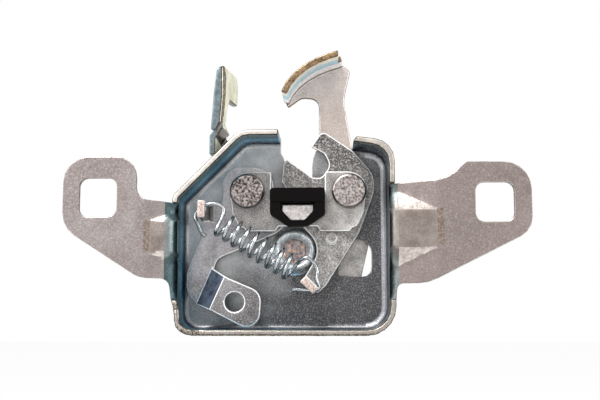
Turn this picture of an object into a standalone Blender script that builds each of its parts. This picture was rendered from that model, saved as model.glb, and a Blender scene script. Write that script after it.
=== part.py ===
"""A bonnet latch: a pressed tray with two fixing ears, a rotary claw and a pawl under a
bridge plate, their shared extension spring, a rubber buffer and a safety hook.

Sizes are in millimetres and MM turns them to metres. X runs along the two fixing ears,
Z is up, and Y runs into the latch, away from the open side of the tray. Y = 0 is the
seating plane at the back of the ears, X = 0 the line that the striker comes down, and
Z = 0 the mean height of the fixing holes.
"""

import math

import bmesh
import bpy
from mathutils import Matrix, Vector

MM = 0.001
ARC_STEP = 20.0
GAP = 0.3
COLLECTION = "bonnet_latch"

# The pressed tray
SHEET = 1.8
TRAY_DEPTH = 16.0
TRAY_LEFT = -39.2
TRAY_RIGHT = 30.8
TRAY_BOTTOM = -42.2
TRAY_TOP_LEFT = 22.5
TRAY_TOP_RIGHT = 19.8
DIAGONAL_FOOT = 1.4
DIAGONAL_RISE = 21.1
LOWER_LEFT_RADIUS = 7.0
LOWER_RIGHT_RADIUS = 9.0
UPPER_RIGHT_RADIUS = 9.5
INNER_BEND = 1.2
SLOT_HALF = 4.55
SLOT_BOTTOM = 3.8
GAP_FLOOR_EDGE = 18.4
GAP_LEFT = -5.9
GAP_RIGHT = 19.3

# The fixing ears
EAR_LEFT_HOLE = (-62.8, 0.95)
EAR_RIGHT_HOLE = (61.7, -0.95)
HOLE_WIDTH = 12.0
HOLE_HEIGHT = 12.4
HOLE_CORNER = 2.8
EAR_LEFT_END = -74.0
EAR_LEFT_TOP = 14.0
EAR_LEFT_FOOT = -24.3
EAR_RIGHT_END = 73.1
EAR_RIGHT_TOP = 11.7
EAR_RIGHT_FOOT = -26.1
LEFT_BEND = 8.0
LEFT_DROP = 1.8
LEFT_RIB_HALF = 4.9
LEFT_RIB_Z = -11.5
LEFT_FACET = 3.0
RIGHT_BEND = 13.5
RIGHT_DROP = 3.0
RIGHT_RIB_HALF = 5.8
RIGHT_RIB_Z = -9.0
RIGHT_FACET = 6.3

# The ring boss that stops the claw, and the window beside it
BOSS = (-1.3, -15.0)
BOSS_RADIUS = 7.0
BOSS_CREST = 5.6
BOSS_RISE = 2.7
PIT_RADIUS = 4.2
WINDOW_LEFT = 12.9
WINDOW_RIGHT = 23.9
WINDOW_TOP = -11.1
WINDOW_BOTTOM = -23.4

# The two pivots and what sits on them
PIVOT_Z = 4.1
CLAW_PIVOT = (16.6, PIVOT_Z)
PAWL_PIVOT = (-16.5, PIVOT_Z)
RIVET_SHANK = 3.0
RIVET_HEAD_RADIUS = 5.6
RIVET_HEAD = 2.0
REAR_HEAD_RADIUS = 4.6
REAR_HEAD = 1.7
BUSH_WALL = 1.4
CLAW_SHEET = 2.4
PAWL_SHEET = 2.4
BRIDGE_SHEET = 2.0
HOOK_SHEET = 2.0

# The claw
CLAW_HUB = 8.3
CLAW_CLOSED = 23.0
RIM_CLEARANCE = 2.5
FINGER_LEFT = -5.4
TAIL_END = (3.85, -26.6)
TAIL_ANGLE = -43.0
TAIL_TAB_LENGTH = 5.6
TAB_REACH = 11.4
NUB_POINT = (11.0, -11.2)
NUB_RADIUS = 1.7
NUB_RISE = 1.1

# The pawl
PAWL_HUB = 8.5
PAWL_ENGAGED = 13.0
STRUT_LENGTH = 16.4
STRUT_ANGLE = -36.5
STRUT_WIDTH = 3.6
PAWL_TAB_X = -31.5
PAWL_TAB_TOP = 0.2
PAWL_TAB_HEIGHT = 5.4
PAWL_TAB_WIDTH = 2.3
CABLE_RAISE = 6.4
CABLE_HOLE = (-20.0, -31.8)
CABLE_HOLE_RADIUS = 3.15
RISER_PAD = [(-22.4, -24.0), (-27.2, -34.6)]
FOLD = [(-27.5, -21.0), (-32.5, -32.7)]
PAWL_CROOK = [
    (-12.2, -11.6, 2.0),
    (-19.3, -14.7, 0.0),
    (-26.3, -17.6, 3.0),
]
PAWL_ARM = [
    (-36.4, -28.6, 5.0),
    (-36.4, -22.0, 8.0),
    (-31.3, -9.6, 2.0),
]
CABLE_TAB = [
    (-22.0, -24.2, 0.6),
    (-11.4, -28.7, 4.5),
    (-12.2, -42.2, 7.6),
    (-27.0, -34.7, 0.6),
]

# The bridge plate with its buffer
BRIDGE_END = 6.5
BRIDGE_SLOT_HALF = 8.7
BRIDGE_SLOT_BOTTOM = 0.8
BRIDGE_FOOT = -9.0
BRIDGE_NOTCH = -7.4
BRIDGE_NOTCH_HALF = 6.3
NUB_TOP_HALF = 5.2
NUB_FOOT_HALF = 2.3
NUB_TOP = -0.4
NUB_FOOT = -5.9
NUB_HEIGHT = 2.6
BUFFER_HALF = 8.8
BUFFER_TOP = 4.6
BUFFER_FRONT = 4.4
BUFFER_RIM = 1.6

# The safety hook
FLANGE_DEPTH = 15.0
FINGER_DEPTH = 13.3
FINGER_X = -28.3
FINGER_TURN = 9.0
HOOK_CREST = [
    (14.6, 47.3),
    (10.6, 46.1),
    (6.8, 44.6),
    (3.2, 42.6),
    (0.2, 40.1),
    (-1.9, 37.6),
    (-3.4, 34.6),
]
HOOK_WIRE = 1.2
HOOK_COILS = 3
HOOK_UPPER_LEG = 13.0
HOOK_LOWER_LEG = 12.0
WASHER_RADIUS = 7.4
WASHER = 1.0

# The extension spring
SPRING_WIRE = 1.2
SPRING_OUTER = 9.0
SPRING_TURNS = 8.5
SPRING_DEPTH = 2.8
SPRING_START = (-23.7, -7.4)
SPRING_END = (-0.9, -21.8)

# The claw's rim stays clear of the pawl's hub
RIM_RADIUS = CLAW_PIVOT[0] - PAWL_PIVOT[0] - PAWL_HUB - RIM_CLEARANCE

# Depths that follow from the stack
RIM = -SHEET
FLOOR = RIM + TRAY_DEPTH
FLOOR_BACK = FLOOR + SHEET
CLAW_BACK = FLOOR - GAP
CLAW_FRONT = CLAW_BACK - CLAW_SHEET
PAWL_FRONT = CLAW_BACK - PAWL_SHEET
BRIDGE_BACK = CLAW_FRONT - GAP
BRIDGE_FRONT = BRIDGE_BACK - BRIDGE_SHEET
HEAD_BACK = BRIDGE_FRONT - GAP
HEAD_FRONT = HEAD_BACK - RIVET_HEAD
TAB_FRONT = CLAW_FRONT - TAB_REACH
NOTCH_FRONT = SPRING_DEPTH - SPRING_WIRE / 2 - GAP
NOTCH_BACK = SPRING_DEPTH + SPRING_WIRE / 2 + GAP
HOOK_FRONT = FLOOR_BACK + GAP
HOOK_BACK = HOOK_FRONT + HOOK_SHEET
BUSH_OUTER = RIVET_SHANK + GAP + BUSH_WALL
COIL_RADIUS = BUSH_OUTER + GAP + HOOK_WIRE / 2
COIL_LENGTH = HOOK_COILS * (HOOK_WIRE + GAP)
WASHER_FRONT = HOOK_BACK + GAP + COIL_LENGTH + HOOK_WIRE + GAP
REAR_HEAD_FRONT = WASHER_FRONT + WASHER + GAP

STEEL = (0.60, 0.61, 0.62, 1.0)
DARK_STEEL = (0.42, 0.43, 0.45, 1.0)
WIRE_STEEL = (0.70, 0.71, 0.73, 1.0)
RUBBER = (0.012, 0.012, 0.013, 1.0)


def polar(centre, radius, degrees):
    """The point at this radius and angle from a centre, counter-clockwise from +X."""
    turn = math.radians(degrees)
    return (centre[0] + radius * math.cos(turn), centre[1] + radius * math.sin(turn))


def turned(point, centre, degrees):
    """The point turned counter-clockwise about a centre, as seen from the open side."""
    turn = math.radians(degrees)
    x = point[0] - centre[0]
    z = point[1] - centre[1]
    return (
        centre[0] + x * math.cos(turn) - z * math.sin(turn),
        centre[1] + x * math.sin(turn) + z * math.cos(turn),
    )


def arc(centre, radius, start, end, steps=6):
    """Points along an arc from one angle to another, in degrees."""
    return [polar(centre, radius, start + (end - start) * i / steps) for i in range(steps + 1)]


def circle(centre, radius, steps=24):
    """A full circle of points."""
    return [polar(centre, radius, 360 * i / steps) for i in range(steps)]


def distance(a, b):
    return math.hypot(a[0] - b[0], a[1] - b[1])


def bearing(centre, point):
    """The angle of a point seen from a centre, in degrees."""
    return math.degrees(math.atan2(point[1] - centre[1], point[0] - centre[0]))


def circles_meet(first, first_radius, second, second_radius):
    """Where two circles meet, on the right-hand side going from the first to the second."""
    apart = distance(first, second)
    along = (apart**2 + first_radius**2 - second_radius**2) / (2 * apart)
    angle = bearing(first, second) - math.degrees(math.acos(along / first_radius))
    return polar(first, first_radius, angle)


def rounded(corners):
    """An outline through (x, z, radius) corners, each rounded with its own radius."""
    points = []
    for index, (x, z, radius) in enumerate(corners):
        corner = Vector((x, z))
        if radius <= 0:
            points.append((x, z))
            continue
        before = Vector(corners[index - 1][:2]) - corner
        after = Vector(corners[(index + 1) % len(corners)][:2]) - corner
        half = before.angle(after) / 2
        reach = min(radius / math.tan(half), 0.49 * before.length, 0.49 * after.length)
        fitted = reach * math.tan(half)
        middle = corner + (before.normalized() + after.normalized()).normalized() * (
            fitted / math.sin(half)
        )
        start = corner + before.normalized() * reach - middle
        end = corner + after.normalized() * reach - middle
        sweep = start.angle_signed(end)
        steps = max(2, round(abs(math.degrees(sweep)) / ARC_STEP))
        for i in range(steps + 1):
            spoke = start.copy()
            spoke.rotate(Matrix.Rotation(-sweep * i / steps, 2))
            points.append(tuple(middle + spoke))
    return points


def clear_scene():
    for obj in list(bpy.data.objects):
        bpy.data.objects.remove(obj, do_unlink=True)


def new_collection(name, hidden=False):
    collection = bpy.data.collections.new(name)
    collection.hide_render = hidden
    bpy.context.scene.collection.children.link(collection)
    return collection


def new_material(name, colour, roughness, metallic):
    material = bpy.data.materials.new(name)
    material.use_nodes = True
    shader = material.node_tree.nodes["Principled BSDF"]
    shader.inputs["Base Color"].default_value = colour
    shader.inputs["Roughness"].default_value = roughness
    shader.inputs["Metallic"].default_value = metallic
    return material


def mesh_object(name, mesh, origin, collection):
    """An object from a mesh, with its origin at an (x, z) point."""
    obj = bpy.data.objects.new(name, mesh)
    obj.location = Vector((origin[0], 0.0, origin[1])) * MM
    collection.objects.link(obj)
    return obj


def flat_mesh(name, outlines, start, end, origin):
    """A closed mesh from flat outlines in (x, z), running in depth from start to end."""
    curve = bpy.data.curves.new(name, "CURVE")
    curve.dimensions = "2D"
    curve.fill_mode = "BOTH"
    curve.extrude = abs(end - start) / 2 * MM
    for outline in outlines:
        spline = curve.splines.new("POLY")
        spline.points.add(len(outline) - 1)
        for point, (x, z) in zip(spline.points, outline):
            point.co = ((x - origin[0]) * MM, (z - origin[1]) * MM, 0.0, 1.0)
        spline.use_cyclic_u = True
    guide = bpy.data.objects.new(name + "_curve", curve)
    bpy.context.scene.collection.objects.link(guide)
    graph = bpy.context.evaluated_depsgraph_get()
    mesh = bpy.data.meshes.new_from_object(guide.evaluated_get(graph))
    bpy.data.objects.remove(guide, do_unlink=True)
    place = Matrix.Translation((0.0, (start + end) / 2 * MM, 0.0)) @ Matrix.Rotation(
        math.radians(90), 4, "X"
    )
    shape = bmesh.new()
    shape.from_mesh(mesh)
    shape.transform(place)
    bmesh.ops.remove_doubles(shape, verts=shape.verts, dist=1e-7)
    bmesh.ops.recalc_face_normals(shape, faces=shape.faces)
    shape.to_mesh(mesh)
    shape.free()
    mesh.name = name
    return mesh


def plate(name, outlines, start, end, origin=(0.0, 0.0), collection=None):
    """A plate of the given outlines; the first is its edge and the others are holes."""
    mesh = flat_mesh(name, outlines, start, end, origin)
    return mesh_object(name, mesh, origin, collection or PARTS)


def box(name, low, high, origin=(0.0, 0.0), collection=None):
    """A box between two (x, y, z) corners."""
    shape = bmesh.new()
    middle = (Vector(low) + Vector(high)) / 2 - Vector((origin[0], 0.0, origin[1]))
    sides = Vector(high) - Vector(low)
    place = Matrix.Translation(middle * MM) @ Matrix.Diagonal((sides * MM).to_4d())
    bmesh.ops.create_cube(shape, size=1.0, matrix=place)
    mesh = bpy.data.meshes.new(name)
    shape.to_mesh(mesh)
    shape.free()
    return mesh_object(name, mesh, origin, collection or PARTS)


def turned_solid(name, profile, centre, collection=None, segments=32):
    """A closed (radius, depth) profile swept round an axis that runs in depth. Its outer
    side runs from back to front, and the edge that would lie on the axis is left out."""
    mesh = bpy.data.meshes.new(name)
    shape = bmesh.new()
    spots = [shape.verts.new((radius * MM, depth * MM, 0.0)) for radius, depth in profile]
    for first, second in zip(spots, spots[1:] + spots[:1]):
        if first.co.x > 0 or second.co.x > 0:
            shape.edges.new((first, second))
    shape.to_mesh(mesh)
    shape.free()
    obj = mesh_object(name, mesh, centre, collection or PARTS)
    sweep = obj.modifiers.new("sweep", "SCREW")
    sweep.axis = "Y"
    sweep.steps = segments
    sweep.render_steps = segments
    sweep.use_merge_vertices = True
    sweep.merge_threshold = 1e-6
    return obj


def tube(name, points, wire, origin=(0.0, 0.0), collection=None):
    """A round wire of the given diameter along (x, y, z) points."""
    curve = bpy.data.curves.new(name, "CURVE")
    curve.dimensions = "3D"
    curve.bevel_depth = wire / 2 * MM
    curve.bevel_resolution = 2
    curve.use_fill_caps = True
    spline = curve.splines.new("POLY")
    spline.points.add(len(points) - 1)
    for spot, (x, y, z) in zip(spline.points, points):
        spot.co = ((x - origin[0]) * MM, y * MM, (z - origin[1]) * MM, 1.0)
    obj = bpy.data.objects.new(name, curve)
    obj.location = Vector((origin[0], 0.0, origin[1])) * MM
    (collection or PARTS).objects.link(obj)
    return obj


def combine(target, other, operation):
    """Cuts the other object from the target, or joins it on."""
    modifier = target.modifiers.new(operation.lower() + "_" + other.name, "BOOLEAN")
    modifier.object = other
    modifier.operation = operation
    modifier.solver = "EXACT"
    other.hide_render = True
    other.display_type = "WIRE"


def dress(obj, material, smooth=True):
    obj.data.materials.append(material)
    if smooth and obj.type == "MESH":
        obj.data.shade_smooth()
        obj.data.set_sharp_from_angle(angle=math.radians(30))
    return obj


def round_back_edge(obj, radius, segments=3):
    """Rounds the loop of edges at the back of a plate, as a pressed bend."""
    shape = bmesh.new()
    shape.from_mesh(obj.data)
    back = max(vertex.co.y for vertex in shape.verts)
    edges = [
        edge
        for edge in shape.edges
        if all(abs(v.co.y - back) < 1e-6 for v in edge.verts)
        and any(abs(face.normal.y) < 0.5 for face in edge.link_faces)
    ]
    bmesh.ops.bevel(
        shape,
        geom=edges,
        offset=radius * MM,
        segments=segments,
        profile=0.5,
        affect="EDGES",
        clamp_overlap=True,
    )
    shape.to_mesh(obj.data)
    shape.free()


def tray_outline(inset):
    """The tray's outline, moved in by the inset on every side."""
    slant = inset * math.tan(math.radians(22.5))
    left = TRAY_LEFT + inset
    right = TRAY_RIGHT - inset
    top = TRAY_TOP_LEFT - inset
    diagonal_x = TRAY_LEFT + DIAGONAL_RISE + slant
    return rounded(
        [
            (left, DIAGONAL_FOOT - slant, max(3.0 - inset, 1.2)),
            (diagonal_x, top, max(6.5 - inset, 2.0)),
            ((GAP_LEFT + GAP_RIGHT) / 2, top, 0.0),
            (GAP_RIGHT - 1.0, TRAY_TOP_RIGHT + 0.4 - inset, 0.0),
            (right, TRAY_TOP_RIGHT - 1.2 - inset, UPPER_RIGHT_RADIUS - inset),
            (right, TRAY_BOTTOM + inset, LOWER_RIGHT_RADIUS - inset),
            (left, TRAY_BOTTOM + inset, LOWER_LEFT_RADIUS - inset),
        ]
    )


def ear_sheet(name, outline, hole, bend_x, wall_x, drop, rib_z, rib_half, facet, collection):
    """One ear as a sheet: flat with its square hole, sinking towards the tray past the
    bend line, with a rib that keeps its level and spreads into a facet on either side."""
    mesh = bpy.data.meshes.new(name)
    flat = flat_mesh(name + "_flat", [outline, hole], -0.01, 0.01, (0.0, 0.0))
    shape = bmesh.new()
    shape.from_mesh(flat)
    spare = [face for face in shape.faces if face.normal.y > -0.5]
    bmesh.ops.delete(shape, geom=spare, context="FACES")
    bmesh.ops.translate(shape, verts=shape.verts, vec=(0.0, (RIM + 0.01) * MM, 0.0))
    run = wall_x - bend_x
    creases = [((bend_x, 0.0), (1.0, 0.0))]
    for side in (-1, 1):
        edge_z = rib_z + side * rib_half
        creases.append(((bend_x, edge_z), (0.0, 1.0)))
        slope = Vector((run, side * facet))
        creases.append(((bend_x, edge_z), (-slope.y, slope.x)))
    for spot, normal in creases:
        bmesh.ops.bisect_plane(
            shape,
            geom=shape.verts[:] + shape.edges[:] + shape.faces[:],
            plane_co=(spot[0] * MM, 0.0, spot[1] * MM),
            plane_no=(normal[0], 0.0, normal[1]),
            dist=1e-8,
        )
    for vertex in shape.verts:
        share = max(0.0, (vertex.co.x / MM - bend_x) / run)
        beside = max(0.0, abs(vertex.co.z / MM - rib_z) - rib_half)
        vertex.co.y += min(drop * share, drop * beside / facet) * MM
    bmesh.ops.triangulate(shape, faces=shape.faces)
    front = shape.faces[:]
    copied = bmesh.ops.extrude_face_region(shape, geom=front, use_keep_orig=True)
    moved = [item for item in copied["geom"] if isinstance(item, bmesh.types.BMVert)]
    bmesh.ops.translate(shape, verts=moved, vec=(0.0, SHEET * MM, 0.0))
    bmesh.ops.recalc_face_normals(shape, faces=shape.faces)
    shape.to_mesh(mesh)
    shape.free()
    bpy.data.meshes.remove(flat)
    return mesh_object(name, mesh, (0.0, 0.0), collection)


def square_hole(centre):
    """The rounded square fixing hole."""
    x, z = centre
    half = HOLE_WIDTH / 2
    rise = HOLE_HEIGHT / 2
    return rounded(
        [
            (x - half, z + rise, HOLE_CORNER),
            (x + half, z + rise, HOLE_CORNER),
            (x + half, z - rise, HOLE_CORNER),
            (x - half, z - rise, HOLE_CORNER),
        ]
    )


def left_ear():
    inner = TRAY_LEFT + SHEET
    top = EAR_LEFT_TOP
    foot = EAR_LEFT_FOOT
    neck = TRAY_LEFT - 11.5
    outline = rounded(
        [
            (inner, -0.8, 0.0),
            (neck, 0.6, 4.0),
            (neck, top, 7.3),
            (EAR_LEFT_END, top, 8.0),
            (EAR_LEFT_END, -8.5, 9.0),
            (TRAY_LEFT - 10.2, foot, 8.0),
            (TRAY_LEFT - 1.0, foot - 0.3, 3.0),
            (TRAY_LEFT - 0.2, foot - 7.0, 0.0),
            (inner, foot - 7.0, 0.0),
        ]
    )
    return ear_sheet(
        "left_ear",
        outline,
        square_hole(EAR_LEFT_HOLE),
        TRAY_LEFT - LEFT_BEND,
        TRAY_LEFT,
        LEFT_DROP,
        LEFT_RIB_Z,
        LEFT_RIB_HALF,
        LEFT_FACET,
        CUTTERS,
    )


def right_ear():
    inner = TRAY_RIGHT - SHEET
    top = EAR_RIGHT_TOP
    foot = EAR_RIGHT_FOOT
    end = EAR_RIGHT_END
    outline = rounded(
        [
            (inner, 5.2, 0.0),
            (TRAY_RIGHT + 16.0, 6.3, 9.0),
            (TRAY_RIGHT + 22.5, top, 0.3),
            (end, top, 8.5),
            (end, -9.85, 7.0),
            (TRAY_RIGHT + 10.0, foot + 0.1, 12.0),
            (TRAY_RIGHT + 0.6, foot, 2.0),
            (TRAY_RIGHT + 0.2, foot - 5.0, 0.0),
            (inner, foot - 5.0, 0.0),
        ]
    )
    return ear_sheet(
        "right_ear",
        outline,
        square_hole(EAR_RIGHT_HOLE),
        TRAY_RIGHT + RIGHT_BEND,
        TRAY_RIGHT,
        RIGHT_DROP,
        RIGHT_RIB_Z,
        RIGHT_RIB_HALF,
        RIGHT_FACET,
        CUTTERS,
    )


def wall_lowering(name, wall_x, top, foot, drop, rib_z, rib_half, facet):
    """Takes the wall down to just under the ear that turns out over it."""
    low = RIM + drop + SHEET / 2
    high = RIM + SHEET / 2
    profile = [
        (RIM - 2.0, top),
        (low, top),
        (low, rib_z + rib_half + facet),
        (high, rib_z + rib_half),
        (high, rib_z - rib_half),
        (low, rib_z - rib_half - facet),
        (low, foot),
        (RIM - 2.0, foot),
    ]
    mesh = flat_mesh(name, [profile], wall_x - SHEET * 1.6, wall_x + SHEET * 1.6, (0.0, 0.0))
    # The profile was drawn in (depth, height) and runs along X.
    for vertex in mesh.vertices:
        depth = vertex.co.x
        vertex.co.x = vertex.co.y
        vertex.co.y = depth
    mesh.flip_normals()
    return mesh_object(name, mesh, (0.0, 0.0), CUTTERS)


def striker_gap():
    """The opening in the top wall, running on as the striker slot in the floor."""
    arch_z = SLOT_BOTTOM + SLOT_HALF
    above = TRAY_TOP_LEFT + 6.0
    outline = [(GAP_LEFT, above), (GAP_LEFT, GAP_FLOOR_EDGE - 0.8)]
    outline += [(-SLOT_HALF - 0.5, GAP_FLOOR_EDGE - 2.2), (-SLOT_HALF, GAP_FLOOR_EDGE - 4.2)]
    outline += arc((0.0, arch_z), SLOT_HALF, 180, 360, 10)
    outline += [(SLOT_HALF, 13.0), (SLOT_HALF + 0.4, 16.0), (SLOT_HALF + 1.3, GAP_FLOOR_EDGE)]
    outline += [(GAP_RIGHT - 1.6, GAP_FLOOR_EDGE), (GAP_RIGHT, GAP_FLOOR_EDGE + 2.2)]
    outline += [(GAP_RIGHT, above)]
    return plate("striker_gap", [outline], RIM - 2, FLOOR_BACK + 2, collection=CUTTERS)


def housing():
    """The pressed tray with its ears, boss, slot, window and rivet holes."""
    body = plate("housing", [tray_outline(0.0)], RIM, FLOOR_BACK)
    round_back_edge(body, INNER_BEND + SHEET)
    hollow = plate("tray_hollow", [tray_outline(SHEET)], RIM - 2, FLOOR, collection=CUTTERS)
    round_back_edge(hollow, INNER_BEND)
    combine(body, hollow, "DIFFERENCE")
    combine(body, striker_gap(), "DIFFERENCE")
    left_cut = wall_lowering(
        "left_wall_cut", TRAY_LEFT + SHEET / 2, -0.9, EAR_LEFT_FOOT - 6.9,
        LEFT_DROP, LEFT_RIB_Z, LEFT_RIB_HALF, LEFT_FACET,
    )
    right_cut = wall_lowering(
        "right_wall_cut", TRAY_RIGHT - SHEET / 2, 5.1, EAR_RIGHT_FOOT - 4.9,
        RIGHT_DROP, RIGHT_RIB_Z, RIGHT_RIB_HALF, RIGHT_FACET,
    )
    combine(body, left_cut, "DIFFERENCE")
    combine(body, right_cut, "DIFFERENCE")
    combine(body, left_ear(), "UNION")
    combine(body, right_ear(), "UNION")
    boss_profile = [
        (0.0, FLOOR + 0.9),
        (BOSS_RADIUS, FLOOR + 0.9),
        (BOSS_RADIUS, FLOOR - 0.4),
        (BOSS_CREST + 0.8, FLOOR - BOSS_RISE + 0.5),
        (BOSS_CREST, FLOOR - BOSS_RISE),
        (BOSS_CREST - 0.8, FLOOR - BOSS_RISE + 0.4),
        (PIT_RADIUS, FLOOR - 0.6),
        (PIT_RADIUS - 0.6, FLOOR + 0.1),
        (0.0, FLOOR + 0.1),
    ]
    combine(body, turned_solid("boss", boss_profile, BOSS, CUTTERS), "UNION")
    window = rounded(
        [
            (WINDOW_LEFT, WINDOW_TOP, 1.0),
            (WINDOW_RIGHT, WINDOW_TOP, 4.6),
            (WINDOW_RIGHT, WINDOW_BOTTOM, 3.2),
            (WINDOW_LEFT, WINDOW_BOTTOM, 1.0),
        ]
    )
    cut = plate("window", [window], FLOOR - 2, FLOOR_BACK + 2, collection=CUTTERS)
    combine(body, cut, "DIFFERENCE")
    for side, centre in (("claw", CLAW_PIVOT), ("pawl", PAWL_PIVOT)):
        hole = circle(centre, RIVET_SHANK + GAP)
        drill = plate(side + "_hole", [hole], FLOOR - 2, FLOOR_BACK + 2, collection=CUTTERS)
        combine(body, drill, "DIFFERENCE")
    return body


def bridge_outline():
    half = [
        (BRIDGE_SLOT_HALF, BRIDGE_SLOT_BOTTOM, 0.5),
        (BRIDGE_SLOT_HALF, PIVOT_Z + BRIDGE_END, 1.0),
        (CLAW_PIVOT[0] + BRIDGE_END, PIVOT_Z + BRIDGE_END, BRIDGE_END),
        (CLAW_PIVOT[0] + BRIDGE_END - 1.7, -3.0, 2.0),
        (CLAW_PIVOT[0] + 2.6, -7.4, 1.5),
        (CLAW_PIVOT[0] + 1.0, -7.9, 0.0),
        (CLAW_PIVOT[0] + 0.2, BRIDGE_FOOT, 0.3),
        (BRIDGE_NOTCH_HALF + 1.0, BRIDGE_FOOT, 0.0),
        (BRIDGE_NOTCH_HALF, BRIDGE_NOTCH, 0.0),
    ]
    mirrored = [(-x, z, radius) for x, z, radius in reversed(half)]
    return rounded(half + mirrored)


def nub_outline(grow=0.0):
    """The trapezoid that holds the buffer, with its chamfered foot."""
    return [
        (-NUB_TOP_HALF - grow, NUB_TOP + grow),
        (NUB_TOP_HALF + grow, NUB_TOP + grow),
        (NUB_TOP_HALF + grow, NUB_TOP - 2.4),
        (NUB_FOOT_HALF + grow / 2, NUB_FOOT - grow),
        (-NUB_FOOT_HALF - grow / 2, NUB_FOOT - grow),
        (-NUB_TOP_HALF - grow, NUB_TOP - 2.4),
    ]


def bridge_plate():
    """The plate that ties both rivets together and carries the buffer on its nub."""
    holes = [circle(centre, RIVET_SHANK + GAP) for centre in (CLAW_PIVOT, PAWL_PIVOT)]
    body = plate("bridge_plate", [bridge_outline()] + holes, BRIDGE_FRONT, BRIDGE_BACK)
    raised = plate(
        "nub", [nub_outline()], BRIDGE_FRONT - NUB_HEIGHT, BRIDGE_FRONT + 0.5, collection=CUTTERS
    )
    combine(body, raised, "UNION")
    pocket = plate(
        "nub_pocket", [nub_outline(-1.4)], BRIDGE_FRONT - NUB_HEIGHT + 1.4, BRIDGE_BACK + 1,
        collection=CUTTERS,
    )
    combine(body, pocket, "DIFFERENCE")
    return body


def buffer():
    """The rubber saddle: a bar on the bridge plate's edge and a skirt round the nub."""
    skirt_outline = rounded(
        [
            (-BUFFER_HALF, BUFFER_TOP, 1.0),
            (BUFFER_HALF, BUFFER_TOP, 1.0),
            (BUFFER_HALF, NUB_TOP - 3.4, 1.0),
            (NUB_FOOT_HALF + 0.9, NUB_FOOT - BUFFER_RIM, 0.6),
            (-NUB_FOOT_HALF - 0.9, NUB_FOOT - BUFFER_RIM, 0.6),
            (-BUFFER_HALF, NUB_TOP - 3.4, 1.0),
        ]
    )
    body = plate("buffer", [skirt_outline, nub_outline(GAP)], BUFFER_FRONT, HEAD_BACK)
    bar = box(
        "buffer_bar",
        (-BRIDGE_SLOT_HALF + GAP, BUFFER_FRONT + 1.0, BRIDGE_SLOT_BOTTOM + GAP),
        (BRIDGE_SLOT_HALF - GAP, BRIDGE_BACK, BUFFER_TOP - 0.05),
        collection=CUTTERS,
    )
    combine(body, bar, "UNION")
    return body


def closed_catch():
    """The claw's catch, worked out where it stands when closed: the face that the pawl's
    strut bears on, and the notch above it that lets the strut in."""
    reach = STRUT_LENGTH + GAP
    outer = circles_meet(PAWL_PIVOT, reach, CLAW_PIVOT, RIM_RADIUS)
    half_turn = math.degrees(math.asin(STRUT_WIDTH / 2 / STRUT_LENGTH))
    inner_angle = STRUT_ANGLE + half_turn + 2.5
    start = bearing(PAWL_PIVOT, outer)
    face = arc(PAWL_PIVOT, reach, start, inner_angle, 3)
    along = polar((0.0, 0.0), 1.0, STRUT_ANGLE + 180)
    step = 0.0
    notch = face[-1]
    while distance(notch, CLAW_PIVOT) < RIM_RADIUS:
        step += 0.1
        notch = (face[-1][0] + along[0] * step, face[-1][1] + along[1] * step)
    return face, notch


def claw_outline():
    """The open claw: beak, hub, tail and finger, with the catch on its left rim."""
    face, notch = closed_catch()
    face = [turned(point, CLAW_PIVOT, -CLAW_CLOSED) for point in face]
    notch = turned(notch, CLAW_PIVOT, -CLAW_CLOSED)
    clear = BOSS_RADIUS + GAP
    swept_boss = turned(BOSS, CLAW_PIVOT, -CLAW_CLOSED)
    to_boss = bearing(CLAW_PIVOT, BOSS)
    boss_reach = distance(CLAW_PIVOT, BOSS) - clear
    tooth = circles_meet(CLAW_PIVOT, RIM_RADIUS, swept_boss, clear)
    under = arc(
        swept_boss, clear, bearing(swept_boss, tooth), bearing(swept_boss, CLAW_PIVOT), 4
    )
    band = arc(CLAW_PIVOT, boss_reach, to_boss - 360 - CLAW_CLOSED, to_boss - 360, 4)
    hug_start = to_boss + 180
    hug = arc(BOSS, clear, hug_start, hug_start - 76, 6)
    tail_left = polar(TAIL_END, TAIL_TAB_LENGTH / 2 + 0.3, TAIL_ANGLE + 180)
    tail_right = polar(TAIL_END, TAIL_TAB_LENGTH / 2 + 0.3, TAIL_ANGLE)
    front = rounded(
        [
            (tail_right[0] + 0.2, tail_right[1] - 0.2, 0.0),
            (8.9, -26.6, 1.5),
            (19.9, -9.3, 6.0),
            (CLAW_PIVOT[0] + CLAW_HUB, PIVOT_Z, 9.0),
            (CLAW_PIVOT[0] + CLAW_HUB, 9.8, 6.0),
            (18.0, 17.7, 5.0),
            (7.9, 24.6, 1.8),
            (4.3, 19.3, 0.3),
            (8.6, 16.8, 1.5),
            (10.6, 13.0, 3.0),
            (7.6, 8.7, 2.0),
            (4.6, 9.0, 1.0),
            (-4.1, 15.4, 0.8),
            (FINGER_LEFT + 0.3, 12.6, 1.5),
        ]
    )
    rim_top = (FINGER_LEFT, PIVOT_Z + 3.0)
    return front + [rim_top, notch] + face[::-1] + [tooth] + under[1:] + band[1:-1] + hug + [tail_left]


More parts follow.
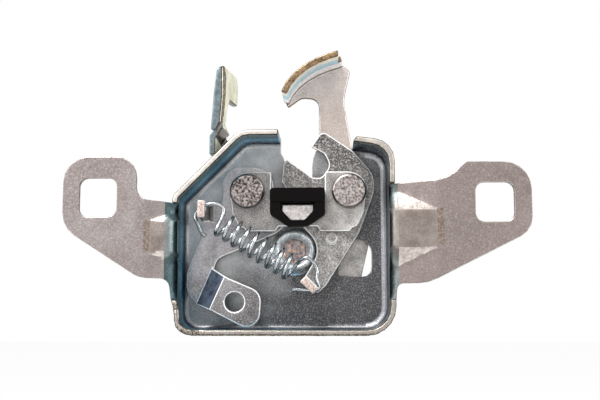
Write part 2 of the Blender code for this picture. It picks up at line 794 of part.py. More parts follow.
def claw():
    """The rotary catch, with its spring tab bent forward and its half-sheared nub."""
    hole = circle(CLAW_PIVOT, BUSH_OUTER + GAP)
    body = plate("claw", [claw_outline(), hole], CLAW_FRONT, CLAW_BACK, CLAW_PIVOT)
    corners = []
    for along, across in ((-1, -1), (1, -1), (1, 1), (-1, 1)):
        spot = polar(TAIL_END, along * TAIL_TAB_LENGTH / 2, TAIL_ANGLE)
        corners.append(polar(spot, across * CLAW_SHEET / 2, TAIL_ANGLE + 90))
    tab = plate("claw_tab", [corners], TAB_FRONT, CLAW_FRONT + 1.0, CLAW_PIVOT, CUTTERS)
    room = []
    for along, across in ((0.05, -2), (4.0, -2), (4.0, 2), (0.05, 2)):
        room.append(polar(polar(TAIL_END, along, TAIL_ANGLE), across, TAIL_ANGLE + 90))
    notch = plate("claw_tab_notch", [room], NOTCH_FRONT, NOTCH_BACK, CLAW_PIVOT, CUTTERS)
    combine(tab, notch, "DIFFERENCE")
    combine(body, tab, "UNION")
    stud = plate(
        "claw_nub", [circle(NUB_POINT, NUB_RADIUS, 16)], CLAW_FRONT - NUB_RISE, CLAW_FRONT + 0.5,
        CLAW_PIVOT, CUTTERS,
    )
    combine(body, stud, "UNION")
    return body


def pawl_outline():
    """The pawl at rest: hub, strut, spring corner and the arm down to the fold."""
    angle = STRUT_ANGLE - PAWL_ENGAGED
    half_turn = math.degrees(math.asin(STRUT_WIDTH / 2 / STRUT_LENGTH))
    tip = arc(PAWL_PIVOT, STRUT_LENGTH, angle + half_turn, angle - half_turn, 3)
    root = polar(polar(PAWL_PIVOT, STRUT_WIDTH / 2, angle + 90), PAWL_HUB + 1.0, angle)
    hub_left = PAWL_PIVOT[0] - PAWL_HUB
    hub_top = PIVOT_Z + PAWL_HUB
    corners = [
        (PAWL_TAB_X, 0.8, 1.0),
        (hub_left, 0.6, 1.5),
        (hub_left, hub_top, PAWL_HUB),
        (PAWL_PIVOT[0] + PAWL_HUB, hub_top, PAWL_HUB),
        (PAWL_PIVOT[0] + PAWL_HUB, root[1], 1.0),
    ]
    corners += [(x, z, 0.0) for x, z in tip]
    corners += PAWL_CROOK
    corners += [(x, z, 0.0) for x, z in FOLD]
    return rounded(corners + PAWL_ARM)


def pawl():
    """The lever that holds the claw shut, with its spring tab and raised cable tab."""
    hole = circle(PAWL_PIVOT, BUSH_OUTER + GAP)
    tab_right = PAWL_TAB_X + PAWL_TAB_WIDTH
    tab_foot = PAWL_TAB_TOP - PAWL_TAB_HEIGHT
    relief = [
        (tab_right, tab_foot),
        (tab_right + 1.3, tab_foot - 0.3),
        (tab_right + 1.3, PAWL_TAB_TOP - 0.6),
        (tab_right, PAWL_TAB_TOP - 0.6),
    ]
    body = plate("pawl", [pawl_outline(), hole, relief], PAWL_FRONT, CLAW_BACK, PAWL_PIVOT)
    tab = box(
        "pawl_tab", (PAWL_TAB_X, TAB_FRONT, tab_foot), (tab_right, PAWL_FRONT + 1.0, PAWL_TAB_TOP),
        PAWL_PIVOT, CUTTERS,
    )
    room = [
        (PAWL_TAB_X - 1.0, tab_foot + 0.4),
        (tab_right + 1.0, tab_foot + 3.2),
        (tab_right + 1.0, PAWL_TAB_TOP + 1.0),
        (PAWL_TAB_X - 1.0, PAWL_TAB_TOP + 1.0),
    ]
    notch = plate("pawl_tab_notch", [room], NOTCH_FRONT, NOTCH_BACK, PAWL_PIVOT, CUTTERS)
    combine(tab, notch, "DIFFERENCE")
    combine(body, tab, "UNION")
    raised_front = PAWL_FRONT - CABLE_RAISE
    raised_back = raised_front + PAWL_SHEET
    hole = circle(CABLE_HOLE, CABLE_HOLE_RADIUS, 20)
    pad = plate(
        "cable_tab", [rounded(CABLE_TAB), hole], raised_front, raised_back, PAWL_PIVOT, CUTTERS
    )
    riser = sloped_riser(raised_front)
    combine(body, riser, "UNION")
    combine(body, pad, "UNION")
    return body


def sloped_riser(raised_front):
    """The slanted web between the pawl's arm and its raised cable tab."""
    shape = bmesh.new()
    ring = []
    for arm, pad in zip(FOLD, RISER_PAD):
        toward = Vector((pad[0] - arm[0], pad[1] - arm[1])).normalized() * 0.8
        ring.append(
            [
                (arm[0] - toward.x, CLAW_BACK, arm[1] - toward.y),
                (arm[0] - toward.x, PAWL_FRONT, arm[1] - toward.y),
                (pad[0] - toward.x, raised_front, pad[1] - toward.y),
                (pad[0] + toward.x, raised_front, pad[1] + toward.y),
                (pad[0] + toward.x, raised_front + PAWL_SHEET, pad[1] + toward.y),
                (arm[0] + toward.x, CLAW_BACK, arm[1] + toward.y),
            ]
        )
    loops = [
        [
            shape.verts.new(((x - PAWL_PIVOT[0]) * MM, y * MM, (z - PAWL_PIVOT[1]) * MM))
            for x, y, z in section
        ]
        for section in ring
    ]
    edges = []
    for loop in loops:
        for first, second in zip(loop, loop[1:] + loop[:1]):
            edges.append(shape.edges.new((first, second)))
    bmesh.ops.bridge_loops(shape, edges=edges)
    bmesh.ops.holes_fill(shape, edges=shape.edges[:], sides=8)
    bmesh.ops.triangulate(shape, faces=shape.faces)
    bmesh.ops.recalc_face_normals(shape, faces=shape.faces)
    mesh = bpy.data.meshes.new("riser")
    shape.to_mesh(mesh)
    shape.free()
    return mesh_object("riser", mesh, PAWL_PIVOT, CUTTERS)


def rivet(name, centre, rear_front):
    """A headed pivot rivet, hammered over at the front and formed at the rear."""
    profile = [
        (0.0, rear_front + REAR_HEAD),
        (REAR_HEAD_RADIUS - 0.8, rear_front + REAR_HEAD),
        (REAR_HEAD_RADIUS, rear_front + REAR_HEAD - 0.5),
        (REAR_HEAD_RADIUS, rear_front),
        (RIVET_SHANK, rear_front),
        (RIVET_SHANK, HEAD_BACK),
        (RIVET_HEAD_RADIUS, HEAD_BACK),
        (RIVET_HEAD_RADIUS, HEAD_FRONT + 0.6),
        (RIVET_HEAD_RADIUS - 0.7, HEAD_FRONT),
        (0.0, HEAD_FRONT),
    ]
    return turned_solid(name, profile, centre, segments=28)


def sleeve(name, centre, inner, outer, start, end, segments=28):
    """A plain round sleeve or washer."""
    profile = [(inner, start), (inner, end), (outer, end), (outer, start)]
    return turned_solid(name, profile, centre, segments=segments)


def offset_path(points, amount):
    """The open path moved sideways, to the right of its direction."""
    moved = []
    for index, spot in enumerate(points):
        before = Vector(points[max(index - 1, 0)])
        after = Vector(points[min(index + 1, len(points) - 1)])
        along = (after - before).normalized()
        moved.append((spot[0] + along.y * amount, spot[1] - along.x * amount))
    return moved


def hook_outline():
    """The safety hook with its stem, hub and tail, and the arm up to the finger."""
    x, z = CLAW_PIVOT
    arm_edge = FINGER_X + 0.5
    crest = [(px, pz, 0.0) for px, pz in offset_path(HOOK_CREST, HOOK_SHEET / 2)]
    return rounded(
        [(17.4, 46.0, 1.0)]
        + crest
        + [
            (-3.6, 33.6, 0.5),
            (0.9, 36.9, 3.0),
            (6.8, 36.4, 3.5),
            (6.8, 14.0, 3.0),
            (3.5, 1.6, 6.0),
            (-4.9, 1.6, 3.0),
            (-4.9, 12.5, 6.0),
            (-11.0, 17.0, 6.0),
            (-24.0, 22.0, 2.0),
            (-25.2, 24.6, 1.0),
            (arm_edge, 24.6, 0.0),
            (arm_edge, 14.6, 2.0),
            (-20.5, 10.0, 3.0),
            (-9.6, 10.0, 2.0),
            (-9.0, -5.6, 4.0),
            (4.0, -7.4, 8.0),
            (11.5, -11.5, 3.0),
            (12.5, -26.0, 3.0),
            (20.0, -26.0, 2.0),
            (22.4, -16.0, 6.0),
            (x + 8.6, -4.0, 5.0),
            (x + 8.6, z + 3.0, 6.0),
            (18.4, 16.0, 6.0),
            (15.0, 36.0, 12.0),
        ]
    )


def finger():
    """The finger: a web folded forward from the arm, joggled over and widened to a pad
    that is turned a little and has a narrow lip along its front edge."""
    left = FINGER_X
    front = HOOK_FRONT - FINGER_DEPTH
    foot = 15.4
    sheet = rounded(
        [
            (left, foot, 0.0),
            (left, 21.6, 1.5),
            (left + 2.3, 24.8, 1.5),
            (left + 3.0, 35.5, 0.0),
            (left + 3.4, 44.6, 0.8),
            (left + 4.6, 44.6, 0.8),
            (left + 5.2, 40.8, 3.0),
            (left + 5.0, 35.5, 0.0),
            (left + 4.3, 24.2, 1.5),
            (left + HOOK_SHEET, 20.9, 1.5),
            (left + HOOK_SHEET, foot, 0.0),
        ]
    )
    body = plate("finger", [sheet], front, HOOK_BACK, CLAW_PIVOT, CUTTERS)
    lean = math.tan(math.radians(FINGER_TURN))
    for vertex in body.data.vertices:
        share = min(1.0, max(0.0, (vertex.co.z / MM + PIVOT_Z - 24.0) / 4.0))
        vertex.co.x += share * lean * (vertex.co.y - front * MM)
    cut = box(
        "finger_relief", (left - 2, front + 6.4, 24.9), (left + 14, HOOK_BACK + 2, 34.4),
        CLAW_PIVOT, CUTTERS,
    )
    combine(body, cut, "DIFFERENCE")
    edge = [
        (left + 0.4, 23.6),
        (left + 1.25, 35.5),
        (left + 2.1, 43.0),
        (left + 3.0, 44.1),
        (left + 3.9, 44.1),
        (left + 4.1, 35.5),
        (left + 3.4, 26.0),
        (left + 2.0, 23.2),
    ]
    lip = plate("finger_lip", [edge], front - 0.3, front + 1.6, CLAW_PIVOT, CUTTERS)
    combine(body, lip, "UNION")
    return body


def safety_hook():
    """The second catch: one sheet with a flanged hook and an arm to the finger pad."""
    hole = circle(CLAW_PIVOT, BUSH_OUTER + GAP)
    body = plate("safety_hook", [hook_outline(), hole], HOOK_FRONT, HOOK_BACK, CLAW_PIVOT)
    band = HOOK_CREST + offset_path(HOOK_CREST, HOOK_SHEET)[::-1]
    flange = plate(
        "hook_flange", [band], HOOK_FRONT - FLANGE_DEPTH, HOOK_FRONT + 1.0, CLAW_PIVOT, CUTTERS
    )
    x, z = HOOK_CREST[0]
    corner = [(x - 1.6, z + 5.0), (x + 5.0, z + 5.0), (x + 5.0, z - 4.0), (x - 1.0, z - 4.0)]
    slant = plate(
        "flange_slant", [corner], HOOK_FRONT - FLANGE_DEPTH - 1, HOOK_FRONT - FLANGE_DEPTH / 2,
        CLAW_PIVOT, CUTTERS,
    )
    combine(flange, slant, "DIFFERENCE")
    combine(body, flange, "UNION")
    combine(body, finger(), "UNION")
    return body


def hook_spring():
    """The torsion spring behind the hook: three turns round the sleeve, and two legs."""
    x, z = CLAW_PIVOT
    start = HOOK_BACK + GAP + HOOK_WIRE / 2
    per_turn = 14
    points = [(x - COIL_RADIUS, start, z + HOOK_UPPER_LEG)]
    for i in range(HOOK_COILS * per_turn + per_turn // 2 + 1):
        spot = polar(CLAW_PIVOT, COIL_RADIUS, 180 + 360 * i / per_turn)
        points.append((spot[0], start + COIL_LENGTH * i / (HOOK_COILS * per_turn + 7), spot[1]))
    points.append((x + COIL_RADIUS, start + COIL_LENGTH, z - HOOK_LOWER_LEG))
    return tube("hook_spring", points, HOOK_WIRE)


def latch_spring():
    """The extension spring: open coils, a full loop round the pawl's tab at one end and a
    long hook round the claw's tab at the other, both lying in the tabs' notches."""
    mean = (SPRING_OUTER - SPRING_WIRE) / 2
    start = Vector(SPRING_START)
    run = Vector(SPRING_END) - start
    side = Vector((-run.y, run.x)).normalized()
    foot = PAWL_TAB_TOP - PAWL_TAB_HEIGHT
    loop = rounded(
        [
            (PAWL_TAB_X + 2.4, foot - 5.7, 0.0),
            (PAWL_TAB_X + 1.2, foot - 5.0, 1.0),
            (PAWL_TAB_X - 1.3, foot + 0.8, 2.2),
            (PAWL_TAB_X + 1.8, PAWL_TAB_TOP - 0.7, 3.0),
            (PAWL_TAB_X + 8.0, PAWL_TAB_TOP - 0.6, 2.4),
            (PAWL_TAB_X + 8.2, PAWL_TAB_TOP - 4.0, 0.0),
        ]
    )
    x, z = TAIL_END
    hook = rounded(
        [
            (x - 1.4, z + 9.0, 0.0),
            (x + 1.3, z + 8.2, 1.5),
            (x + 2.8, z + 4.6, 3.0),
            (x + 2.2, z + 0.6, 2.0),
            (x + 3.6, z - 1.2, 0.9),
            (x + 0.6, z - 1.5, 1.5),
            (x - 5.5, z - 1.4, 0.0),
        ]
    )
    points = [(px, SPRING_DEPTH, pz) for px, pz in loop]
    per_turn = 14
    first = -2
    last = round(SPRING_TURNS * per_turn) - 1
    for i in range(first, last + 1):
        swing = math.tau * i / per_turn
        middle = start + run * (i / (SPRING_TURNS * per_turn)) - side * (mean * math.cos(swing))
        points.append((middle.x, SPRING_DEPTH + mean * math.sin(swing), middle.y))
    points += [(px, SPRING_DEPTH, pz) for px, pz in hook]
    return tube("latch_spring", points, SPRING_WIRE)


clear_scene()
PARTS = new_collection(COLLECTION)
CUTTERS = new_collection(COLLECTION + "_cutters", hidden=True)
ZINC = new_material("zinc_plated_steel", STEEL, 0.38, 1.0)
DARK_ZINC = new_material("dark_zinc_steel", DARK_STEEL, 0.5, 1.0)
WIRE = new_material("spring_wire", WIRE_STEEL, 0.25, 1.0)
BLACK_RUBBER = new_material("black_rubber", RUBBER, 0.8, 0.0)

dress(housing(), ZINC)
dress(bridge_plate(), ZINC)
dress(buffer(), BLACK_RUBBER)
dress(claw(), ZINC)
dress(pawl(), ZINC)
dress(safety_hook(), ZINC)
dress(rivet("claw_rivet", CLAW_PIVOT, REAR_HEAD_FRONT), DARK_ZINC)
dress(rivet("pawl_rivet", PAWL_PIVOT, FLOOR_BACK + GAP), DARK_ZINC)
for bush_name, bush_centre in (("claw_bush", CLAW_PIVOT), ("pawl_bush", PAWL_PIVOT)):
    dress(
        sleeve(bush_name, bush_centre, RIVET_SHANK + GAP, BUSH_OUTER, BRIDGE_BACK + GAP, CLAW_BACK),
        DARK_ZINC,
    )
dress(
    sleeve(
        "hook_bush", CLAW_PIVOT, RIVET_SHANK + GAP, BUSH_OUTER, HOOK_FRONT, WASHER_FRONT - GAP
    ),
    DARK_ZINC,
)
dress(
    sleeve(
        "rear_washer", CLAW_PIVOT, RIVET_SHANK + GAP, WASHER_RADIUS, WASHER_FRONT,
        WASHER_FRONT + WASHER,
    ),
    ZINC,
)
dress(hook_spring(), WIRE)
dress(latch_spring(), WIRE)
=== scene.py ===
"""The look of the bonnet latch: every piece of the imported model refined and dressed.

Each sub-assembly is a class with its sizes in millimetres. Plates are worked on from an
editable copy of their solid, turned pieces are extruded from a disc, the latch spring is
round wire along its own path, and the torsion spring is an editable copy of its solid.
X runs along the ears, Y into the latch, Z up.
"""

import logging
import math
from collections.abc import Callable, Iterable, Sequence
from dataclasses import dataclass
from enum import Enum

import bmesh
import bpy
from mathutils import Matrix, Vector


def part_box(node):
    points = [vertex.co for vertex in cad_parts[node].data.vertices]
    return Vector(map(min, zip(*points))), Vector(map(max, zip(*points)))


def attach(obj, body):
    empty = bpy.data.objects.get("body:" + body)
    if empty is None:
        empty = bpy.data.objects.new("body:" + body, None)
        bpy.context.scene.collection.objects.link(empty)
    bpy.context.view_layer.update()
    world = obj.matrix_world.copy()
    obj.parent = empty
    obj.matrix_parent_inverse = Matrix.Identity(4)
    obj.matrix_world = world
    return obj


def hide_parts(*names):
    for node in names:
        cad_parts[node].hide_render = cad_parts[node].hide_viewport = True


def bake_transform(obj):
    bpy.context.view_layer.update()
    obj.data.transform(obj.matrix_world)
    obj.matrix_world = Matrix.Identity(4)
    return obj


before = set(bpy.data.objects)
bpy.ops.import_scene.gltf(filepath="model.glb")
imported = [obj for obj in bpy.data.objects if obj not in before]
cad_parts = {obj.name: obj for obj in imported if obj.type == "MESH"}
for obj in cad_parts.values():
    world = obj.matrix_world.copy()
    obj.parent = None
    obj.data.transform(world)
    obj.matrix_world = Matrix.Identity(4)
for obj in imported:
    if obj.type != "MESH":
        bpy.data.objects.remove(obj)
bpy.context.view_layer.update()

MM = 0.001
LOG = logging.getLogger("bonnet_latch")

Part = bmesh.types.BMFace | bmesh.types.BMEdge
Point = tuple[float, float]
Spot = tuple[float, float, float]
Colour = tuple[float, float, float, float]
Tint = Colour | bpy.types.Node
Inputs = dict[str | int, object]

# The colour mix's inputs: the share of the second colour, then both colours.
SHARE, FIRST, SECOND = 0, 6, 7

# How much fine detail the plating's noises carry.
CLOUDS = {"Detail": 3.0, "Roughness": 0.65}
SPECKS = {"Detail": 2.0, "Roughness": 0.65}

# Between which levels of a noise each effect comes in.
CLOUD_LEVELS = {"From Min": 0.36, "From Max": 0.66}
PALE_LEVELS = {"From Min": 0.5, "From Max": 0.72}
DARK_LEVELS = {"From Min": 0.3, "From Max": 0.46}
RUB_LEVELS = {"From Min": 0.3, "From Max": 0.7}
STRIPE_LEVELS = {"From Min": 0.38, "From Max": 0.62}
PIT_LEVELS = {"From Min": 0.4, "From Max": 0.6}

# The share of the clouds that is left over the painted depth shading, and of the flecks that are dark.
CLOUDS_OVER_DEPTH_SHADING = 0.35
DARK_FLECKS = 0.8

# How far a face's normal goes along an axis, from leaning that way to all but square on.
SLIGHTLY = 0.2
LEANING = 0.3
TURNED = 0.5
MOSTLY = 0.8
SQUARE = 0.9
FLAT = 0.97
FLATTEST = 0.985


class Slot(Enum):
    """The record's material slots."""

    ZINC = "zinc_plate"
    RIVET = "rivet_steel"
    WIRE = "spring_wire"
    RUBBER = "buffer_rubber"


class Body(Enum):
    """The bodies that pieces ride on."""

    FRAME = "latch_frame"
    CLAW = "claw"
    PAWL = "pawl"
    HOOK = "safety_hook"


class Select(Enum):
    """What edit mode selects: the select mode, and a mesh's own word for such parts."""

    POINTS = ("VERT", "verts")
    EDGES = ("EDGE", "edges")
    FACES = ("FACE", "faces")


def linear(colour: str) -> Colour:
    """Turns an sRGB hex colour to linear values.

    Args:
        colour: The colour, such as "#8a8c90".

    Returns:
        Red, green and blue in linear light, and an alpha of 1.
    """
    levels = [int(colour[i : i + 2], 16) / 255 for i in (1, 3, 5)]
    red, green, blue = (
        level / 12.92 if level <= 0.04045 else ((level + 0.055) / 1.055) ** 2.4
        for level in levels
    )
    return red, green, blue, 1.0


def scale_of(size: float) -> float:
    """Returns the texture scale whose features are as wide as a size in millimetres."""
    return 1 / (size * MM)


def add_node(
    tree: bpy.types.NodeTree, kind: str, inputs: Inputs | None = None, **settings: object
) -> bpy.types.Node:
    """Adds a shader node with its settings, input values and links.

    Args:
        tree: The node tree.
        kind: The node's type, without the word that all shader nodes start with.
        inputs: Input name or number to a value, to the socket that feeds it, or to the
            node whose first working output feeds it.
        **settings: Properties of the node.

    Returns:
        The new node.
    """
    node = tree.nodes.new("ShaderNode" + kind)
    for name, value in settings.items():
        setattr(node, name, value)
    for name, value in (inputs or {}).items():
        if isinstance(value, bpy.types.Node):
            value = next(socket for socket in value.outputs if socket.enabled)
        if isinstance(value, bpy.types.NodeSocket):
            tree.links.new(value, node.inputs[name])
        else:
            node.inputs[name].default_value = value
    return node


def new_material(name: str) -> tuple[bpy.types.Material, bpy.types.NodeTree]:
    """Makes an empty node material.

    Args:
        name: The material's name.

    Returns:
        The material and its node tree.
    """
    material = bpy.data.materials.new(name)
    material.use_nodes = True
    material.node_tree.nodes.clear()
    return material, material.node_tree


@dataclass(frozen=True)
class Surface:
    """A finish of the latch, with its pattern sizes in millimetres on the real surface."""

    name: str

    def material(self) -> bpy.types.Material:
        """Returns the finish's material, building it on first use."""
        return bpy.data.materials.get(self.name) or self.build()

    def build(self) -> bpy.types.Material:
        """Builds the material round the finish's own look.

        Returns:
            The material.
        """
        material, tree = new_material(self.name)
        place = add_node(tree, "TexCoord").outputs["Object"]
        shader = add_node(tree, "BsdfPrincipled", self.look(tree, place))
        add_node(tree, "OutputMaterial", {"Surface": shader})
        return material

    def look(self, tree: bpy.types.NodeTree, place: bpy.types.NodeSocket) -> Inputs:
        """Adds the nodes that make the finish; every kind of finish has its own.

        Args:
            tree: The material's node tree.
            place: The socket with the surface's place.

        Returns:
            What feeds the surface shader.
        """
        raise NotImplementedError


@dataclass(frozen=True)
class PlatedSteel(Surface):
    """Pressed steel sheet, zinc plated in a bath.

    A satin metal, clouded by the bath and speckled by its own grain. Where a finish has depth
    bands, they are painted reflection, highlight and shade that change with depth into the latch.
    """

    base: str
    shade: str
    fleck: str
    flecks: float = 0.5
    roughness: float = 0.34
    metallic: float = 1.0
    cloud: float = 4.0
    patchy: float = 1.0
    # The real grain, about 0.1 mm, is too fine to show and is drawn four times as coarse.
    grain: float = 0.42
    grain_depth: float = 0.03
    rub: Spot = (1.0, 1.0, 1.0)
    rub_width: float = 0.8
    rub_depth: float = 0.03
    depths: tuple[tuple[float, str], ...] = ()
    wander: float = 3.0
    wander_width: float = 6.0
    fade: tuple[Point, Point, str] | None = None
    fade_width: float = 9.0

    def look(self, tree: bpy.types.NodeTree, place: bpy.types.NodeSocket) -> Inputs:
        """Adds the painted depth shading, the clouds, the speckle, the rub and the grain.

        Args:
            tree: The material's node tree.
            place: The socket with the surface's place.

        Returns:
            What feeds the surface shader.
        """
        cloud = add_node(
            tree, "TexNoise", {"Vector": place, "Scale": scale_of(self.cloud), **CLOUDS}
        )
        grain = add_node(tree, "TexNoise", {"Vector": place, "Scale": scale_of(self.grain), **SPECKS})
        drawn = add_node(tree, "Mapping", {"Vector": place, "Scale": self.rub})
        rub = add_node(
            tree, "TexNoise", {"Vector": drawn, "Scale": scale_of(self.rub_width), **SPECKS}
        )
        gloss = {"To Min": self.roughness - 0.06, "To Max": self.roughness + 0.08}
        coarse = add_node(tree, "Bump", {"Height": rub, "Distance": self.rub_depth * MM})
        fine = {"Height": grain, "Distance": self.grain_depth * MM, "Normal": coarse}
        plain = self.by_depth(tree, place) if self.depths else linear(self.base)
        if self.fade:
            plain = self.faded(tree, place, plain)
        return {
            "Base Color": self.flecked(tree, grain, self.clouded(tree, cloud, plain)),
            "Metallic": self.metallic,
            "Roughness": add_node(tree, "MapRange", {"Value": rub, **RUB_LEVELS, **gloss}),
            "Normal": add_node(tree, "Bump", fine),
        }

    def clouded(self, tree: bpy.types.NodeTree, cloud: bpy.types.Node, plain: Tint) -> Tint:
        """Shades the colour in the bath's clouds, more faintly over the painted depth shading.

        Args:
            tree: The material's node tree.
            cloud: The noise of the clouds.
            plain: The colour so far.

        Returns:
            The clouded colour.
        """
        fall = {"To Min": self.patchy, "To Max": 0.0}
        share = add_node(tree, "MapRange", {"Value": cloud, **CLOUD_LEVELS, **fall})
        if self.depths:
            share = add_node(tree, "Math", {0: share, 1: CLOUDS_OVER_DEPTH_SHADING}, operation="MULTIPLY")
        shaded = {SHARE: share, FIRST: plain, SECOND: linear(self.shade)}
        return add_node(tree, "Mix", shaded, data_type="RGBA")

    def flecked(self, tree: bpy.types.NodeTree, grain: bpy.types.Node, plain: Tint) -> Tint:
        """Sets pale and dark flecks on the colour.

        Args:
            tree: The material's node tree.
            grain: The noise of the grain.
            plain: The colour so far.

        Returns:
            The flecked colour.
        """
        pale = add_node(tree, "MapRange", {"Value": grain, **PALE_LEVELS, "To Max": self.flecks})
        fall = {"To Min": self.flecks * DARK_FLECKS, "To Max": 0.0}
        dark = add_node(tree, "MapRange", {"Value": grain, **DARK_LEVELS, **fall})
        lit = {SHARE: pale, FIRST: plain, SECOND: linear(self.fleck)}
        lit = add_node(tree, "Mix", lit, data_type="RGBA")
        shaded = {SHARE: dark, FIRST: lit, SECOND: linear(self.shade)}
        return add_node(tree, "Mix", shaded, data_type="RGBA")

    def faded(self, tree: bpy.types.NodeTree, place: bpy.types.NodeSocket, plain: Tint) -> Tint:
        """Fades the colour into another one along a line across the latch.

        Args:
            tree: The material's node tree.
            place: The socket with the surface's place.
            plain: The colour at the line's start.

        Returns:
            The fading colour.
        """
        start, end, colour = self.fade
        first = Vector((start[0], 0.0, start[1])) * MM
        run = Vector((end[0], 0.0, end[1])) * MM - first
        per_run = tuple(run / run.length_squared)
        offset = add_node(tree, "VectorMath", {0: place, 1: tuple(first)}, operation="SUBTRACT")
        along = add_node(tree, "VectorMath", {0: offset, 1: per_run}, operation="DOT_PRODUCT")
        blur = add_node(
            tree, "TexNoise", {"Vector": place, "Scale": scale_of(self.fade_width), **SPECKS}
        )
        moved = add_node(tree, "Math", {0: along, 1: blur}, operation="ADD")
        share = add_node(tree, "MapRange", {"Value": moved, "From Min": 0.5, "From Max": 1.5})
        mixed = {SHARE: share, FIRST: plain, SECOND: linear(colour)}
        return add_node(tree, "Mix", mixed, data_type="RGBA")

    def by_depth(self, tree: bpy.types.NodeTree, place: bpy.types.NodeSocket) -> Tint:
        """Adds the painted reflection, highlight and shade that change with depth into the latch.

        Args:
            tree: The material's node tree.
            place: The socket with the surface's place.

        Returns:
            The painted shading.
        """
        front = self.depths[0][0]
        back = self.depths[-1][0]
        depth = add_node(tree, "SeparateXYZ", {0: place}).outputs["Y"]
        blur = add_node(
            tree, "TexNoise", {"Vector": place, "Scale": scale_of(self.wander_width), **SPECKS}
        )
        shifted = add_node(
            tree, "Math", {0: blur, 1: self.wander * MM, 2: depth}, operation="MULTIPLY_ADD"
        )
        reach = {
            "From Min": (front + self.wander / 2) * MM,
            "From Max": (back + self.wander / 2) * MM,
        }
        ramp = add_node(tree, "ValToRGB", {0: add_node(tree, "MapRange", {"Value": shifted, **reach})})
        stops = ramp.color_ramp.elements
        for number, (depth, colour) in enumerate(self.depths):
            share = (depth - front) / (back - front)
            stop = stops[number] if number < 2 else stops.new(share)
            stop.position = share
            stop.color = linear(colour)
        return ramp


@dataclass(frozen=True)
class ShearedEdge(Surface):
    """The sheared edge of steel sheet: burnished, then torn, in stripes across the edge."""

    bright: str
    dark: str
    # The punch's marks, about 0.1 mm wide, would not show and are drawn coarser.
    stripe: float = 0.35
    depth: float = 0.08
    along: Spot = (1.0, 0.08, 1.0)
    roughness: float = 0.42

    def look(self, tree: bpy.types.NodeTree, place: bpy.types.NodeSocket) -> Inputs:
        """Adds the stripes, in colour and relief.

        Args:
            tree: The material's node tree.
            place: The socket with the surface's place.

        Returns:
            What feeds the surface shader.
        """
        drawn = add_node(tree, "Mapping", {"Vector": place, "Scale": self.along})
        stripes = add_node(
            tree, "TexNoise", {"Vector": drawn, "Scale": scale_of(self.stripe), "Detail": 2.0}
        )
        share = add_node(tree, "MapRange", {"Value": stripes, **STRIPE_LEVELS})
        mixed = {SHARE: share, FIRST: linear(self.dark), SECOND: linear(self.bright)}
        return {
            "Base Color": add_node(tree, "Mix", mixed, data_type="RGBA"),
            "Metallic": 1.0,
            "Roughness": self.roughness,
            "Normal": add_node(tree, "Bump", {"Height": stripes, "Distance": self.depth * MM}),
        }


@dataclass(frozen=True)
class HammeredSteel(Surface):
    """A cold-headed rivet face: pitted where the punch struck, rubbed bright elsewhere."""

    bright: str
    dark: str
    pit: float = 1.1
    grain: float = 0.8
    depth: float = 0.16
    roughness: float = 0.34

    def look(self, tree: bpy.types.NodeTree, place: bpy.types.NodeSocket) -> Inputs:
        """Adds the pits, in colour and relief.

        Args:
            tree: The material's node tree.
            place: The socket with the surface's place.

        Returns:
            What feeds the surface shader.
        """
        pits = add_node(
            tree, "TexVoronoi", {"Vector": place, "Scale": scale_of(self.pit), "Randomness": 1.0}
        )
        worn = {"Vector": place, "Scale": scale_of(self.grain), "Detail": 4.0, "Roughness": 0.7}
        grain = add_node(tree, "TexNoise", worn)
        height = add_node(tree, "Math", {0: pits, 1: grain}, operation="MULTIPLY")
        share = add_node(tree, "MapRange", {"Value": grain, **PIT_LEVELS})
        mixed = {SHARE: share, FIRST: linear(self.dark), SECOND: linear(self.bright)}
        return {
            "Base Color": add_node(tree, "Mix", mixed, data_type="RGBA"),
            "Metallic": 1.0,
            "Roughness": self.roughness,
            "Normal": add_node(tree, "Bump", {"Height": height, "Distance": self.depth * MM}),
        }


@dataclass(frozen=True)
class MouldedRubber(Surface):
    """Moulded black rubber: matt, with a faint bloom in its grain."""

    base: str
    bloom: str
    # The mould's grain is finer than 0.1 mm and is drawn coarser, so that it shows.
    grain: float = 0.5
    depth: float = 0.05
    roughness: float = 0.62
    gleam: float = 0.05

    def look(self, tree: bpy.types.NodeTree, place: bpy.types.NodeSocket) -> Inputs:
        """Adds the bloom and the grain.

        Args:
            tree: The material's node tree.
            place: The socket with the surface's place.

        Returns:
            What feeds the surface shader.
        """
        grain = add_node(
            tree, "TexNoise", {"Vector": place, "Scale": scale_of(self.grain), "Detail": 4.0}
        )
        mixed = {SHARE: grain, FIRST: linear(self.base), SECOND: linear(self.bloom)}
        return {
            "Base Color": add_node(tree, "Mix", mixed, data_type="RGBA"),
            "Roughness": self.roughness,
            "Specular IOR Level": self.gleam,
            "Normal": add_node(tree, "Bump", {"Height": grain, "Distance": self.depth * MM}),
        }


